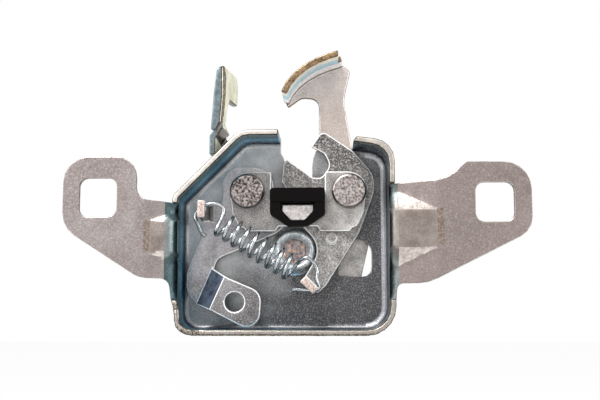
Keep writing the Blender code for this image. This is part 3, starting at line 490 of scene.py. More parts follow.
class Finish(Enum):
    """Every finish on the latch, each built once."""

    # The tray's floor, plated: dull grey with the bath's speckle, with painted light at the upper left
    # fading into painted shade towards the lower right.
    TRAY_FLOOR = PlatedSteel(
        "zinc_plated_tray_floor",
        "#cfd1d2",
        "#4a494b",
        "#c4c3c4",
        cloud=7.0,
        fade=((-28.0, 4.0), (6.0, -20.0), "#464446"),
        metallic=0.5,
        patchy=0.35,
    )
    # The walls on the left and top: painted reflection and shade in bands by depth, teal and blue as a
    # painted reflection of blue surroundings, navy painted shade lower down, and darker towards the
    # right.
    COOL_WALL = PlatedSteel(
        "zinc_plated_cool_wall",
        "#3d7385",
        "#1d4050",
        "#7fb0bc",
        flecks=0.25,
        roughness=0.3,
        depths=(
            (-1.8, "#8fa9ae"),
            (0.3, "#4f7c8a"),
            (1.8, "#1a4454"),
            (4.5, "#207f9c"),
            (7.2, "#3fb2d6"),
            (9.6, "#1f6a98"),
            (11.4, "#17324a"),
            (12.6, "#2a4a63"),
            (13.9, "#8d9497"),
        ),
        fade=((-2.0, 0.0), (18.0, 0.0), "#34424b"),
        metallic=0.7,
    )
    # The walls on the right: painted shade, darker, near navy, paler at the rim and at the floor.
    DARK_WALL = PlatedSteel(
        "zinc_plated_dark_wall",
        "#4d5c66",
        "#1d262c",
        "#7b878d",
        flecks=0.25,
        roughness=0.3,
        depths=(
            (-1.8, "#c9ccc6"),
            (0.5, "#8fa5a2"),
            (2.2, "#4f6c72"),
            (6.5, "#2c4052"),
            (11.0, "#27333c"),
            (12.6, "#3c464c"),
            (13.9, "#8d9091"),
        ),
        metallic=0.7,
    )
    # The drawn radius round the floor: a painted highlight along it, dimmer towards the lower right.
    BEND = PlatedSteel(
        "floor_bend_painted_highlight",
        "#cfd0d3",
        "#8b8c8f",
        "#ececee",
        fade=((-34.0, -4.0), (-10.0, -36.0), "#9a9b9f"),
        metallic=0.5,
        patchy=0.5,
    )
    # The sheet's fold into the left ear: painted reflection and shade across the bend, grey at the
    # front, then teal, deepening into painted shade towards the tray.
    FOLD_LEFT = PlatedSteel(
        "zinc_plated_left_fold",
        "#4c5c5e",
        "#22323a",
        "#8fa0a2",
        flecks=0.3,
        depths=(
            (-1.8, "#8b8c8c"),
            (-1.2, "#8a9696"),
            (-0.7, "#445658"),
            (0.8, "#3f565b"),
            (2.6, "#26343d"),
        ),
        metallic=0.6,
        wander=0.7,
    )
    # The fold into the right ear: painted highlight and shade across the bend, pale at the front, then
    # dark, with a teal line of painted reflection.
    FOLD_RIGHT = PlatedSteel(
        "zinc_plated_right_fold",
        "#6f6c6a",
        "#43413f",
        "#a3a19e",
        flecks=0.3,
        depths=(
            (-1.8, "#a39b95"),
            (-1.2, "#6b6460"),
            (-0.3, "#6a6c69"),
            (0.9, "#84918f"),
            (1.8, "#2c3538"),
        ),
        metallic=0.6,
        wander=0.7,
    )
    # The tray's back and outside: an even grey in large soft clouds.
    OUTER = PlatedSteel(
        "zinc_plated_tray_outside", "#98989a", "#73736f", "#b4b2ae", cloud=9.0, patchy=0.5
    )
    # The ears: warm grey, even, with a fine pale speckle.
    EAR = PlatedSteel(
        "zinc_plated_ear",
        "#a49b99",
        "#857975",
        "#c6bdba",
        cloud=14.0,
        flecks=0.45,
        grain=0.4,
        fade=((-20.0, 0.0), (40.0, 0.0), "#998c88"),
        patchy=0.6,
    )
    # The ears' sheared edges: browner and darker than their faces, in short blotches.
    EAR_EDGE = PlatedSteel("sheared_ear_edge", "#7d7067", "#4b4039", "#a99d94", cloud=1.8)
    # The ribs pressed into the ears: the ears' warm grey in smaller clouds.
    RIB = PlatedSteel(
        "zinc_plated_ear_rib", "#a0958f", "#857a73", "#c0b6af", cloud=5.0, flecks=0.4
    )
    # The slopes above and below a rib: a painted highlight, pale.
    EAR_RUB = PlatedSteel(
        "ear_slope_painted_highlight", "#d8cec8", "#a0958e", "#ece4de", cloud=2.0, flecks=0.4, metallic=0.8
    )
    # The outer ends of the ribs: the press has rubbed the plating brown.
    RIB_WORN = PlatedSteel(
        "worn_rib_end", "#9b8e87", "#7a685e", "#b9aca3", cloud=1.0, flecks=0.5, grain=0.5
    )
    # The bridge plate: strongly speckled grey, brightest to the lower right.
    PLATE = PlatedSteel(
        "zinc_plated_bridge",
        "#918e8c",
        "#565352",
        "#dedbd9",
        flecks=0.65,
        fade=((2.0, 6.0), (24.0, -4.0), "#ccc7c4"),
        metallic=0.5,
        patchy=0.6,
    )
    # The claw: dark at its beak, paler below, with the strongest speckle.
    LEVER = PlatedSteel(
        "zinc_plated_claw",
        "#5d5957",
        "#3d3a38",
        "#e6e3e2",
        flecks=0.75,
        fade=((12.0, 20.0), (9.0, -10.0), "#a39f9c"),
        metallic=0.5,
        patchy=0.6,
    )
    # The pawl: pale at its upper left, dark towards the lower right.
    PAWL = PlatedSteel(
        "zinc_plated_pawl",
        "#cbc7cb",
        "#777477",
        "#dcd9db",
        flecks=0.6,
        fade=((-36.0, -8.0), (-14.0, -32.0), "#4f4b4a"),
        metallic=0.5,
        patchy=0.5,
    )
    # The riser of the pawl's cable tab: it faces the side, and its deep blue grey is a painted
    # reflection of blue surroundings.
    RISER = PlatedSteel(
        "zinc_plated_riser", "#7c8696", "#3b4250", "#a7b0be", flecks=0.3, metallic=0.6
    )
    # The bridge's half-sheared nub: burnished nearly white, in streaks from side to side.
    NUB = PlatedSteel(
        "zinc_plated_nub", "#e6dfde", "#a8a2a1", "#f4f0ee", cloud=1.6, rub=(0.3, 1.0, 1.6)
    )
    # The safety hook's faces: pale warm grey with a soft sheen.
    HOOK = PlatedSteel(
        "zinc_plated_hook",
        "#d6cbc6",
        "#a79d98",
        "#ece2dc",
        roughness=0.36,
        flecks=0.6,
        fade=((8.0, 42.0), (12.0, 30.0), "#cabdb5"),
        patchy=0.45,
    )
    # The hook's flange, bent: painted highlight, reflection and shade in bands by depth, a cream
    # highlight near its edge, a blue painted reflection, a white painted highlight towards the bend
    # and painted shade where it meets the body.
    HOOK_FLANGE = PlatedSteel(
        "zinc_plated_hook_flange",
        "#b8c4cc",
        "#a3afb5",
        "#f0f4f4",
        flecks=0.15,
        depths=(
            (1.3, "#f7efd6"),
            (4.4, "#fff8e4"),
            (5.8, "#a8dcf2"),
            (8.2, "#b4e2f4"),
            (9.2, "#8fb6c6"),
            (10.2, "#ffffff"),
            (14.0, "#ffffff"),
            (15.6, "#a8a09a"),
        ),
        metallic=0.3,
    )
    # The flange's sheared front edge: stained golden brown.
    FLANGE_RIM = PlatedSteel(
        "stained_flange_edge", "#957b5e", "#4a3828", "#cdb792", cloud=2.0, metallic=0.7
    )
    # The finger's sides: a cool blue grey.
    FINGER = PlatedSteel(
        "zinc_plated_finger_edge", "#7d8d94", "#5f6a70", "#b0a59f", flecks=0.35, cloud=2.5
    )
    # The finger's pad: cream white and nearly matt.
    FINGER_PAD = PlatedSteel(
        "zinc_plated_finger_pad", "#f6f3dd", "#d4d2ba", "#fbf9ec", flecks=0.2, roughness=0.42
    )
    # The pit in the boss, where the bath dried: coarse copper flecks on grey.
    PIT = PlatedSteel(
        "zinc_plated_pit", "#b3a6a5", "#6b666a", "#f2c4a0", flecks=0.9, grain=1.3, cloud=1.2
    )
    # The boss's drawn ring: smoother than the sheet, and painted nearly white as a highlight.
    CREST = PlatedSteel(
        "zinc_plated_boss", "#e6ebee", "#9aa0a4", "#f8fafb", roughness=0.26, metallic=0.55
    )
    # The tray's sheared rim, seen from the front: blotched and pale, with painted light at the upper
    # left fading into painted shade lower down.
    RIM = PlatedSteel(
        "sheared_rim_edge",
        "#ded8d0",
        "#8d8278",
        "#f4f1ea",
        cloud=3.0,
        flecks=0.35,
        grain=0.6,
        fade=((-26.0, 14.0), (-6.0, -26.0), "#9a9590"),
        metallic=0.7,
        patchy=0.5,
    )
    # Sheared edges that took little zinc: stained brown.
    RIM_BROWN = PlatedSteel(
        "stained_rim_edge", "#6f604f", "#3f362d", "#b0a390", cloud=1.5, grain=0.6
    )
    # The sheared edges of plates and levers: grey, striped across by the punch.
    EDGE = ShearedEdge("sheared_plate_edge", "#a8a29c", "#6f6862")
    # The sheared ends of the bent tabs: pale and warm, with wider stripes.
    TAB = ShearedEdge("sheared_tab_end", "#e2d0c8", "#a6948a", stripe=0.5)
    # A painted highlight on the front of rounded edges, and the turned sleeves' own bright steel:
    # almost white.
    BRIGHT = PlatedSteel(
        "painted_edge_highlight_and_bright_sleeve", "#faf9f8", "#dcdad9", "#ffffff", roughness=0.3, metallic=0.15
    )
    # The pawl's cold-headed rivet: dark pits in warm steel.
    RIVET = HammeredSteel("cold_headed_pawl_rivet", "#bdb1ad", "#2e2826")
    # The claw's cold-headed rivet: paler, with shallower pits.
    RIVET_LIGHT = HammeredSteel("cold_headed_claw_rivet", "#ccc3c0", "#6d6461", depth=0.1)
    # The rolled edge of a rivet's head: plain grey round the struck face.
    RIVET_RING = PlatedSteel(
        "rolled_rivet_edge", "#a59d9a", "#6e6866", "#d8d2cf", cloud=1.0, flecks=0.4
    )
    # Drawn spring wire: smooth, cool and shiny.
    WIRE = PlatedSteel(
        "bright_spring_wire", "#c2c6c8", "#7e8386", "#e6e9ea", roughness=0.18, grain_depth=0.004
    )
    # The buffer's moulded rubber: matt and all but black.
    RUBBER = MouldedRubber("moulded_black_rubber", "#050303", "#0c0909")


def deselect_all() -> None:
    """Leaves edit mode and deselects every object."""
    if bpy.context.object and bpy.context.object.mode != "OBJECT":
        bpy.ops.object.mode_set(mode="OBJECT")
    bpy.ops.object.select_all(action="DESELECT")


def pick(obj: bpy.types.Object) -> None:
    """Makes one object the only selected and active one.

    Args:
        obj: The object.
    """
    deselect_all()
    obj.select_set(True)
    bpy.context.view_layer.objects.active = obj


def edit(obj: bpy.types.Object, kind: Select = Select.FACES) -> None:
    """Opens one object in edit mode with nothing selected.

    Args:
        obj: The mesh object.
        kind: What is going to be selected.
    """
    pick(obj)
    bpy.ops.object.mode_set(mode="EDIT")
    bpy.ops.mesh.select_mode(type=kind.value[0])
    bpy.ops.mesh.select_all(action="DESELECT")

def select_parts(obj: bpy.types.Object, kind: Select, test: Callable[[Part], bool]) -> int:
    """Selects the faces or edges in edit mode that pass a test.

    Args:
        obj: The mesh object, open in edit mode.
        kind: Which parts are tested.
        test: Tells whether a part is wanted.

    Returns:
        How many parts passed.
    """
    shape = bmesh.from_edit_mesh(obj.data)
    count = 0
    for part in getattr(shape, kind.value[1]):
        wanted = test(part)
        part.select_set(wanted)
        count += wanted
    bmesh.update_edit_mesh(obj.data)
    return count


def middle_of(part: Part) -> Vector:
    """Returns the middle of a face or edge, in millimetres."""
    spots = [vertex.co for vertex in part.verts]
    return sum(spots, Vector()) / len(spots) / MM


def node_copy(node: str, name: str) -> bpy.types.Object:
    """Copies a solid's mesh to a new object, welded, with its flat faces whole again.

    Args:
        node: The node's name.
        name: The new object's name.

    Returns:
        The new object, out of edit mode.
    """
    piece = bpy.data.objects.new(name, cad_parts[node].data.copy())
    bpy.context.scene.collection.objects.link(piece)
    piece.data.materials.clear()
    edit(piece, Select.POINTS)
    bpy.ops.mesh.select_all(action="SELECT")
    bpy.ops.mesh.remove_doubles(threshold=0.002 * MM)
    bpy.ops.mesh.dissolve_limited(angle_limit=math.radians(0.6))
    deselect_all()
    return piece


def cut_grid(piece: bpy.types.Object, step: float = 2.0, shift: float = 0.137) -> None:
    """Cuts a piece along an even grid, so that bends stay local and flat sheet stays flat.

    Args:
        piece: The mesh object.
        step: The grid's width in millimetres.
        shift: How far the grid is moved off the piece's own edges, in millimetres.
    """
    edit(piece)
    box = [Vector(corner) / MM for corner in piece.bound_box]
    for axis in (0, 2):
        low = min(corner[axis] for corner in box)
        high = max(corner[axis] for corner in box)
        direction = [0.0, 0.0, 0.0]
        direction[axis] = 1.0
        for number in range(1, math.ceil((high - low) / step)):
            bpy.ops.mesh.select_all(action="SELECT")
            spot = [0.0, 0.0, 0.0]
            spot[axis] = (low + number * step - shift) * MM
            bpy.ops.mesh.bisect(plane_co=spot, plane_no=direction, threshold=1e-7)
    deselect_all()


def round_sharp_edges(
    piece: bpy.types.Object,
    radius: float,
    test: Callable[[Part], bool] = lambda edge: True,
    segments: int = 2,
    sharpness: float = 40.0,
    clamp: bool = False,
) -> None:
    """Bevels a piece's sharp edges in edit mode.

    Args:
        piece: The mesh object.
        radius: The bevel's size in millimetres.
        test: Tells which of the sharp edges are wanted.
        segments: Faces across the bevel.
        sharpness: The least angle between an edge's faces, in degrees.
        clamp: Whether the shortest edge may limit every bevel.
    """
    edit(piece, Select.EDGES)
    least = math.radians(sharpness)
    count = select_parts(
        piece,
        Select.EDGES,
        lambda edge: len(edge.link_faces) == 2
        and edge.calc_face_angle(0.0) >= least
        and test(edge),
    )
    if count:
        bpy.ops.mesh.bevel(offset=radius * MM, segments=segments, clamp_overlap=clamp)
    deselect_all()


def smooth(piece: bpy.types.Object, angle: float = 32.0, flat_faces: bool = True) -> None:
    """Shades a piece smooth, apart from edges sharper than the angle.

    Args:
        piece: The mesh object.
        angle: The sharpest edge that is still smooth, in degrees.
        flat_faces: Whether large faces keep their own direction, as sheet does.
    """
    pick(piece)
    bpy.ops.object.shade_smooth_by_angle(angle=math.radians(angle))
    if flat_faces:
        weighted = piece.modifiers.new("flat_faces", "WEIGHTED_NORMAL")
        weighted.keep_sharp = True
        weighted.weight = 50
        bpy.ops.object.modifier_apply(modifier=weighted.name)
    deselect_all()


def dress(piece: bpy.types.Object, choose: Callable[[Vector, Vector], Finish]) -> None:
    """Gives a piece its finishes, face by face.

    Args:
        piece: The mesh object.
        choose: From a face's middle in millimetres and its normal, the face's finish.
    """
    piece.data.materials.clear()
    numbers: dict[Finish, int] = {}
    for face in piece.data.polygons:
        finish = choose(face.center / MM, face.normal)
        if finish not in numbers:
            numbers[finish] = len(numbers)
            piece.data.materials.append(finish.value.material())
        face.material_index = numbers[finish]


def hand_in(piece: bpy.types.Object, body: Body, nodes: Iterable[str]) -> None:
    """Fixes a finished piece to its body and the nodes it stands for.

    Args:
        piece: The mesh object.
        body: The body that it rides on.
        nodes: The nodes that it replaces.
    """
    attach(piece, body.value)
    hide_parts(*nodes)
    LOG.info("%s: %d faces on %s", piece.name, len(piece.data.polygons), body.value)


def turned_piece(
    name: str, centre: Point, profile: Sequence[Point], sides: int = 64
) -> bpy.types.Object:
    """Models a closed turned piece by extruding a disc along the depth axis.

    Args:
        name: The object's name.
        centre: The axis, as (x, z) in millimetres.
        profile: (radius, depth) steps from the front disc to the back disc.
        sides: Sides of the disc.

    Returns:
        The object, with its place in its mesh.
    """
    deselect_all()
    x, z = centre
    radius, depth = profile[0]
    bpy.ops.mesh.primitive_circle_add(
        vertices=sides,
        radius=radius * MM,
        fill_type="NGON",
        location=(x * MM, depth * MM, z * MM),
        rotation=(math.radians(90), 0.0, 0.0),
    )
    piece = bpy.context.object
    piece.name = name
    bpy.ops.object.transform_apply(location=True, rotation=True, scale=True)
    bpy.ops.object.mode_set(mode="EDIT")
    bpy.ops.mesh.select_mode(type=Select.FACES.value[0])
    bpy.ops.mesh.select_all(action="SELECT")
    for (before, start), (after, end) in zip(profile, profile[1:]):
        bpy.ops.mesh.extrude_region_move(
            TRANSFORM_OT_translate={"value": (0.0, (end - start) * MM, 0.0)}
        )
        ratio = after / before
        if abs(ratio - 1.0) > 1e-6:
            bpy.ops.transform.resize(
                value=(ratio, 1.0, ratio), center_override=(x * MM, end * MM, z * MM)
            )
    bpy.ops.mesh.select_all(action="SELECT")
    bpy.ops.mesh.normals_make_consistent(inside=False)
    deselect_all()
    return piece


def wire_piece(name: str, points: Sequence[Spot], diameter: float) -> bpy.types.Object:
    """Models round wire along points and turns it into a closed mesh.

    Args:
        name: The object's name.
        points: The wire's centre line, in millimetres.
        diameter: The wire's diameter, in millimetres.

    Returns:
        The mesh object.
    """
    curve = bpy.data.curves.new(name, "CURVE")
    curve.dimensions = "3D"
    curve.bevel_depth = diameter / 2 * MM
    curve.bevel_resolution = 4
    curve.use_fill_caps = True
    spline = curve.splines.new("POLY")
    spline.points.add(len(points) - 1)
    for spot, place in zip(spline.points, points):
        spot.co = (*(Vector(place) * MM), 1.0)
    piece = bpy.data.objects.new(name, curve)
    bpy.context.scene.collection.objects.link(piece)
    pick(piece)
    bpy.ops.object.convert(target="MESH")
    edit(piece, Select.POINTS)
    bpy.ops.mesh.select_all(action="SELECT")
    bpy.ops.mesh.remove_doubles(threshold=0.002 * MM)
    bpy.ops.mesh.normals_make_consistent(inside=False)
    deselect_all()
    smooth(piece, 50.0)
    return piece


def eased(points: Sequence[Spot], rounds: int = 2) -> list[Spot]:
    """Rounds an open path by cutting its corners, keeping both ends.

    Args:
        points: The path's points.
        rounds: How many times the corners are cut.

    Returns:
        The smoother path.
    """
    path = [Vector(point) for point in points]
    for _ in range(rounds):
        cut = [path[0]]
        for first, second in zip(path, path[1:]):
            cut.append(first.lerp(second, 0.25))
            cut.append(first.lerp(second, 0.75))
        cut.append(path[-1])
        path = cut
    return [tuple(point) for point in path]


@dataclass(frozen=True)
class Side:
    """A side wall of the tray and the ear that its sheet turns out into."""

    wall: float
    out: float
    bend: float
    ear: Point
    ear_top: float
    ear_reach: float
    ear_foot: float
    rib_x: Point
    rib_z: Point
    fold: Finish

    def past(self, x: float) -> float:
        """Returns how far a place along X is outside the wall, in millimetres."""
        return self.out * (x - self.wall)

    def on_ear(self, spot: Vector, sheet: float) -> bool:
        """Tells whether a place is on the ear, beyond the fold."""
        return self.past(spot.x) > self.bend - sheet and self.ear[0] < spot.z < self.ear_top

    def at_rib_end(self, spot: Vector, reach: float) -> bool:
        """Tells whether a place is at the rib's outer end."""
        return self.rib_z[0] < spot.z < self.rib_z[1] and abs(spot.x - self.rib_x[1]) < reach

    def on_rib(self, spot: Vector) -> bool:
        """Tells whether a place is on the rib."""
        inside = min(self.rib_x) < spot.x < max(self.rib_x)
        return inside and self.rib_z[0] < spot.z < self.rib_z[1]


@dataclass(frozen=True)
class Tear:
    """One pass of torn burr along the rim: how far its points move, and how many there are."""

    reach: float
    cuts: int
    seed: int
    corner_only: bool


@dataclass
class Housing:
    """The pressed tray with its two ears, the boss, the slot and the window."""

    left: Side = Side(
        wall=-39.2,
        out=-1.0,
        bend=4.2,
        ear=(-31.2, -0.9),
        ear_top=15.0,
        ear_reach=12.0,
        ear_foot=6.0,
        rib_x=(-39.4, -47.2),
        rib_z=(-16.6, -6.4),
        fold=Finish.FOLD_LEFT,
    )
    right: Side = Side(
        wall=30.8,
        out=1.0,
        bend=2.8,
        ear=(-31.0, 5.1),
        ear_top=13.0,
        ear_reach=17.0,
        ear_foot=4.0,
        rib_x=(31.0, 44.3),
        rib_z=(-14.9, -3.1),
        fold=Finish.FOLD_RIGHT,
    )
    middle: Point = (-4.0, -12.0)
    bottom: float = -42.2
    sheet: float = 1.8
    rim: float = -1.8
    floor: float = 14.2
    rim_edge: float = 0.58
    cut_edge: float = 0.2
    past_rim: float = 0.3
    rim_skin: float = 0.1
    least_edge: float = 0.15

    # The boss, its pit, and how far from it other edges and finishes keep away.
    boss: Point = (-1.3, -15.0)
    boss_radius: float = 7.0
    pit_radius: float = 3.6
    pit_floor: float = 3.4
    edge_gap: float = 0.5
    bend_gap: float = 2.5

    # The drawn radius: as solid, as shown on the left and on the right, and how it changes.
    bend_start: float = 0.3
    bend_on_left: float = 1.5
    bend_on_right: float = 2.0
    bend_change: float = 22.0

    # The torn rim, its corner, and the dent in the left wall.
    tears: tuple[Tear, ...] = (Tear(0.14, 30, 3, False), Tear(0.42, 4, 7, True))
    corner: Point = (9.0, 12.0)
    bottom_skin: float = 1.0
    tear_depth: float = 0.9
    least_torn: float = 1.2
    dent: float = 1.1
    dent_span: Point = (-40.0, -31.0)
    dent_width: float = 2.2
    dent_back: float = 6.0

    # How far the faces of a bend lean, and those of a fold's, a wall's and the tray's outside.
    least_lean: float = 0.15
    bend_lean: float = 0.4
    fold_lean: float = 0.1
    outer_lean: float = 0.7

    # How far each finish reaches from the edge or wall that it belongs to.
    back_skin: float = 0.3
    rib_end: float = 0.7
    rib_slopes: Point = (-0.2, 0.25)
    fold_depth: float = 4.3
    fold_width: float = 2.5
    rim_depth: float = 0.7
    bend_depth: float = 2.6
    wall_foot: float = 0.15
    flat_corner: float = 9.0
    dark_width: float = 11.0

    def build(self) -> None:
        """Refines the housing and hands it in."""
        piece = node_copy("housing", "tray_and_ears")
        self.widen_bend(piece)
        round_sharp_edges(piece, self.rim_edge, self.is_rim, 3)
        round_sharp_edges(piece, self.cut_edge, self.is_plain)
        cut_grid(piece)
        self.soften_ribs(piece)
        self.fold(piece, self.left)
        self.fold(piece, self.right)
        for tear in self.tears:
            self.tear_rim(piece, tear)
        self.dent_wall(piece)
        smooth(piece, 40.0)
        dress(piece, self.zone)
        hand_in(piece, Body.FRAME, ["housing"])
        self.build_boss()

    def build_boss(self) -> None:
        """Models the boss as one smooth drawn ring over its solid."""
        foot = self.floor - 0.06
        rises = (
            (3.2, -0.1),
            (3.9, 0.5),
            (4.35, 1.6),
            (4.8, 2.35),
            (5.3, 2.72),
            (5.75, 2.8),
            (6.2, 2.6),
            (6.6, 2.0),
            (6.95, 1.0),
            (7.3, 0.35),
            (7.8, 0.05),
            (8.1, -0.1),
        )
        piece = turned_piece("boss_ring", self.boss, [(radius, foot - rise) for radius, rise in rises])
        smooth(piece, 60.0, flat_faces=False)
        dress(piece, self.boss_zone)
        hand_in(piece, Body.FRAME, ["housing"])

    def boss_zone(self, spot: Vector, normal: Vector) -> Finish:
        """Chooses between the ring and its pit."""
        in_pit = self.from_boss(spot) < self.pit_radius and normal.y < 0
        # The ring is painted nearly white as a highlight.
        return Finish.PIT if in_pit else Finish.CREST

    def from_boss(self, spot: Vector) -> float:
        """Returns how far a place is from the boss's middle, seen from the front."""
        return math.dist((spot.x, spot.z), self.boss)

    def widen_bend(self, piece: bpy.types.Object) -> None:
        """Draws the small radius between the walls and the floor out to its real size.

        Args:
            piece: The housing.
        """
        edit(piece)
        shape = bmesh.from_edit_mesh(piece.data)
        margin = 0.02
        start = self.bend_start
        moves = []
        for vertex in shape.verts:
            spot = vertex.co / MM
            up = self.floor - spot.y
            slanted = [
                face.normal
                for face in vertex.link_faces
                if -FLATTEST < face.normal.y < -self.least_lean
            ]
            near_boss = self.from_boss(spot) < self.boss_radius + self.bend_gap
            if not slanted or near_boss or not -margin < up < start + margin:
                continue
            inward = sum(slanted, Vector())
            inward.y = 0.0
            reach = min(start, max(0.0, up)) - start
            across = start - math.sqrt(max(0.0, start**2 - reach**2))
            side = min(1.0, max(0.0, (spot.x + self.bend_change) / (2 * self.bend_change)))
            radius = self.bend_on_left + (self.bend_on_right - self.bend_on_left) * side
            grow = radius / start - 1.0
            move = inward.normalized() * (across * grow)
            move.y -= max(0.0, up) * grow
            moves.append((vertex, move))
        for vertex, move in moves:
            vertex.co += move * MM
        LOG.info("tray: %d points moved for the drawn radius", len(moves))
        bmesh.update_edit_mesh(piece.data)
        deselect_all()

    def fold(self, piece: bpy.types.Object, side: Side, steps: int = 7) -> None:
        """Rounds the front of the sheet where a side wall turns out into its ear.

        Args:
            piece: The housing.
            side: The wall and its ear.
            steps: Strips across the bend.
        """
        edit(piece)
        inner = side.wall - side.out * self.sheet
        reach = side.out * side.bend
        for step in range(steps + 1):
            cut = inner + reach * (1 - math.sin(math.pi / 2 * step / steps))
            bpy.ops.mesh.select_all(action="SELECT")
            bpy.ops.mesh.bisect(
                plane_co=(cut * MM, 0.0, 0.0), plane_no=(1.0, 0.0, 0.0), threshold=1e-7
            )
        shape = bmesh.from_edit_mesh(piece.data)
        run_out = 2.0
        deepest = 2.2
        across = 1.001
        for vertex in shape.verts:
            spot = vertex.co / MM
            share = (spot.x - inner - reach) / -reach
            facing = [face.normal.y for face in vertex.link_faces]
            in_front = min(facing) < -TURNED and max(facing) < TURNED and spot.y < deepest
            if not (in_front and 0.0 < share < across and side.ear[0] < spot.z < side.ear[1]):
                continue
            near_end = min(spot.z - side.ear[0], side.ear[1] - spot.z)
            sink = side.bend - math.sqrt(max(0.0, side.bend**2 - (share * side.bend) ** 2))
            vertex.co.y += sink * min(1.0, near_end / run_out) * MM
        bmesh.update_edit_mesh(piece.data)
        deselect_all()

    def soften_ribs(self, piece: bpy.types.Object) -> None:
        """Eases the creases round the ribs, as the press leaves them.

        Args:
            piece: The housing.
        """
        edit(piece, Select.POINTS)
        shape = bmesh.from_edit_mesh(piece.data)
        margin = 0.4
        for vertex in shape.verts:
            spot = vertex.co / MM
            in_ear = any(
                -margin < side.past(spot.x) < side.ear_reach
                and side.ear[0] + side.ear_foot < spot.z < side.ear[1]
                for side in (self.left, self.right)
            )
            flat = all(abs(face.normal.y) > MOSTLY for face in vertex.link_faces)
            vertex.select_set(in_ear and flat)
        bmesh.update_edit_mesh(piece.data)
        bpy.ops.mesh.vertices_smooth(factor=0.5, repeat=2)
        deselect_all()

    def is_rim(self, edge: Part) -> bool:
        """Tells whether an edge is on the tray's free rim.

        Args:
            edge: The edge.

        Returns:
            Whether it is on the rim.
        """
        spot = middle_of(edge)
        past_walls = max(self.left.past(spot.x), self.right.past(spot.x))
        return past_walls < self.past_rim and spot.y < self.rim + self.rim_skin

    def is_plain(self, edge: Part) -> bool:
        """Tells whether an edge is a sheared edge of an ear, the slot or the window."""
        near_boss = self.from_boss(middle_of(edge)) < self.boss_radius + self.edge_gap
        return not near_boss and edge.calc_length() > self.least_edge * MM

    def on_burr(self, edge: Part, corner_only: bool) -> bool:
        """Tells whether an edge is where the rim is torn.

        Args:
            edge: The edge.
            corner_only: Whether the burr is at the lower left corner only.

        Returns:
            Whether the edge is on the burr.
        """
        spot = middle_of(edge)
        across, up = self.corner
        at_corner = spot.x < self.left.wall + across and spot.z < self.bottom + up
        on_bottom = spot.z < self.bottom + self.bottom_skin and not corner_only
        on_edge = spot.y < self.rim + self.tear_depth
        long_enough = edge.calc_length() > self.least_torn * MM
        return (at_corner or on_bottom) and on_edge and long_enough

    def tear_rim(self, piece: bpy.types.Object, tear: Tear) -> None:
        """Leaves the torn burr that the press left on the lower rim.

        Args:
            piece: The housing.
            tear: One pass of the burr.
        """
        edit(piece, Select.EDGES)
        if select_parts(piece, Select.EDGES, lambda edge: self.on_burr(edge, tear.corner_only)):
            bpy.ops.mesh.subdivide(number_cuts=tear.cuts)
            bpy.ops.transform.vertex_random(offset=tear.reach * MM, uniform=0.4, seed=tear.seed)
        deselect_all()

    def dent_wall(self, piece: bpy.types.Object) -> None:
        """Dents the left wall's rim a little inwards near its lower corner.

        Args:
            piece: The housing.
        """
        edit(piece, Select.POINTS)
        shape = bmesh.from_edit_mesh(piece.data)
        low, high = self.dent_span
        for vertex in shape.verts:
            spot = vertex.co / MM
            on_wall = spot.x < self.left.wall + self.dent_width and spot.y < self.dent_back
            if on_wall and low < spot.z < high:
                across = math.sin(math.pi * (spot.z - low) / (high - low))
                along = (self.dent_back - spot.y) / (self.dent_back - self.rim)
                vertex.co.x += self.dent * across * along * MM
        bmesh.update_edit_mesh(piece.data)
        deselect_all()

    def zone(self, spot: Vector, normal: Vector) -> Finish:
        """Chooses the finish of a face.

        Args:
            spot: The face's middle, in millimetres.
            normal: The way the face looks.

        Returns:
            The finish.
        """
        if spot.y > self.floor + self.back_skin and normal.y > LEANING:
            return Finish.OUTER
        for side in (self.left, self.right):
            if side.on_ear(spot, self.sheet):
                return self.ear_zone(side, spot, normal)
            beside = side.past(spot.x) > -self.fold_width and side.ear[0] < spot.z < side.ear[1]
            if beside and spot.y < self.rim + self.fold_depth:
                outside = side.past(spot.x) > 0 and normal.y > -self.fold_lean
                # A fold gets painted reflection and shade across its bend.
                return Finish.OUTER if outside or normal.y > TURNED else side.fold
        return self.tray_zone(spot, normal)

    def ear_zone(self, side: Side, spot: Vector, normal: Vector) -> Finish:
        """Chooses between an ear's back, edge, rib and face.

        Args:
            side: The ear's side of the tray.
            spot: The face's middle, in millimetres.
            normal: The way the face looks.

        Returns:
            The finish.
        """
        if normal.y > TURNED:
            return Finish.OUTER
        if abs(normal.y) < MOSTLY:
            return Finish.EAR_EDGE
        # The slopes above and below a rib get a painted highlight.
        if not self.rib_slopes[0] <= normal.z <= self.rib_slopes[1]:
            return Finish.EAR_RUB
        if side.at_rib_end(spot, self.rib_end):
            return Finish.RIB_WORN
        return Finish.RIB if side.on_rib(spot) else Finish.EAR

    def tray_zone(self, spot: Vector, normal: Vector) -> Finish:
        """Chooses between the tray's rim, outside, pit, bend, walls and floor.

        Args:
            spot: The face's middle, in millimetres.
            normal: The way the face looks.

        Returns:
            The finish.
        """
        if spot.y < self.rim + self.rim_depth:
            # The rim's face carries painted light at the upper left and painted shade lower down.
            return Finish.RIM if abs(normal.y) > SQUARE else Finish.RIM_BROWN
        out = Vector((spot.x - self.middle[0], 0.0, spot.z - self.middle[1])).dot(normal)
        if out > 0 and spot.y < self.floor and normal.y > -self.outer_lean:
            return Finish.OUTER
        if self.from_boss(spot) < self.pit_floor and normal.y < -TURNED:
            return Finish.PIT
        near_boss = self.from_boss(spot) < self.boss_radius + self.bend_gap
        near_right = self.right.past(spot.x) > -self.flat_corner
        slanted = -(FLATTEST if near_right else SQUARE) < normal.y < -self.bend_lean
        # The drawn radius gets a painted highlight.
        if slanted and spot.y > self.floor - self.bend_depth and not near_boss:
            return Finish.BEND
        # The walls get painted reflection and shade, darkest on the right.
        if spot.y < self.floor - self.wall_foot and abs(normal.y) < FLAT:
            dark = self.right.past(spot.x) >= -self.dark_width
            return Finish.DARK_WALL if dark else Finish.COOL_WALL
        # The floor carries painted light from the upper left and painted shade to the lower right.
        return Finish.TRAY_FLOOR


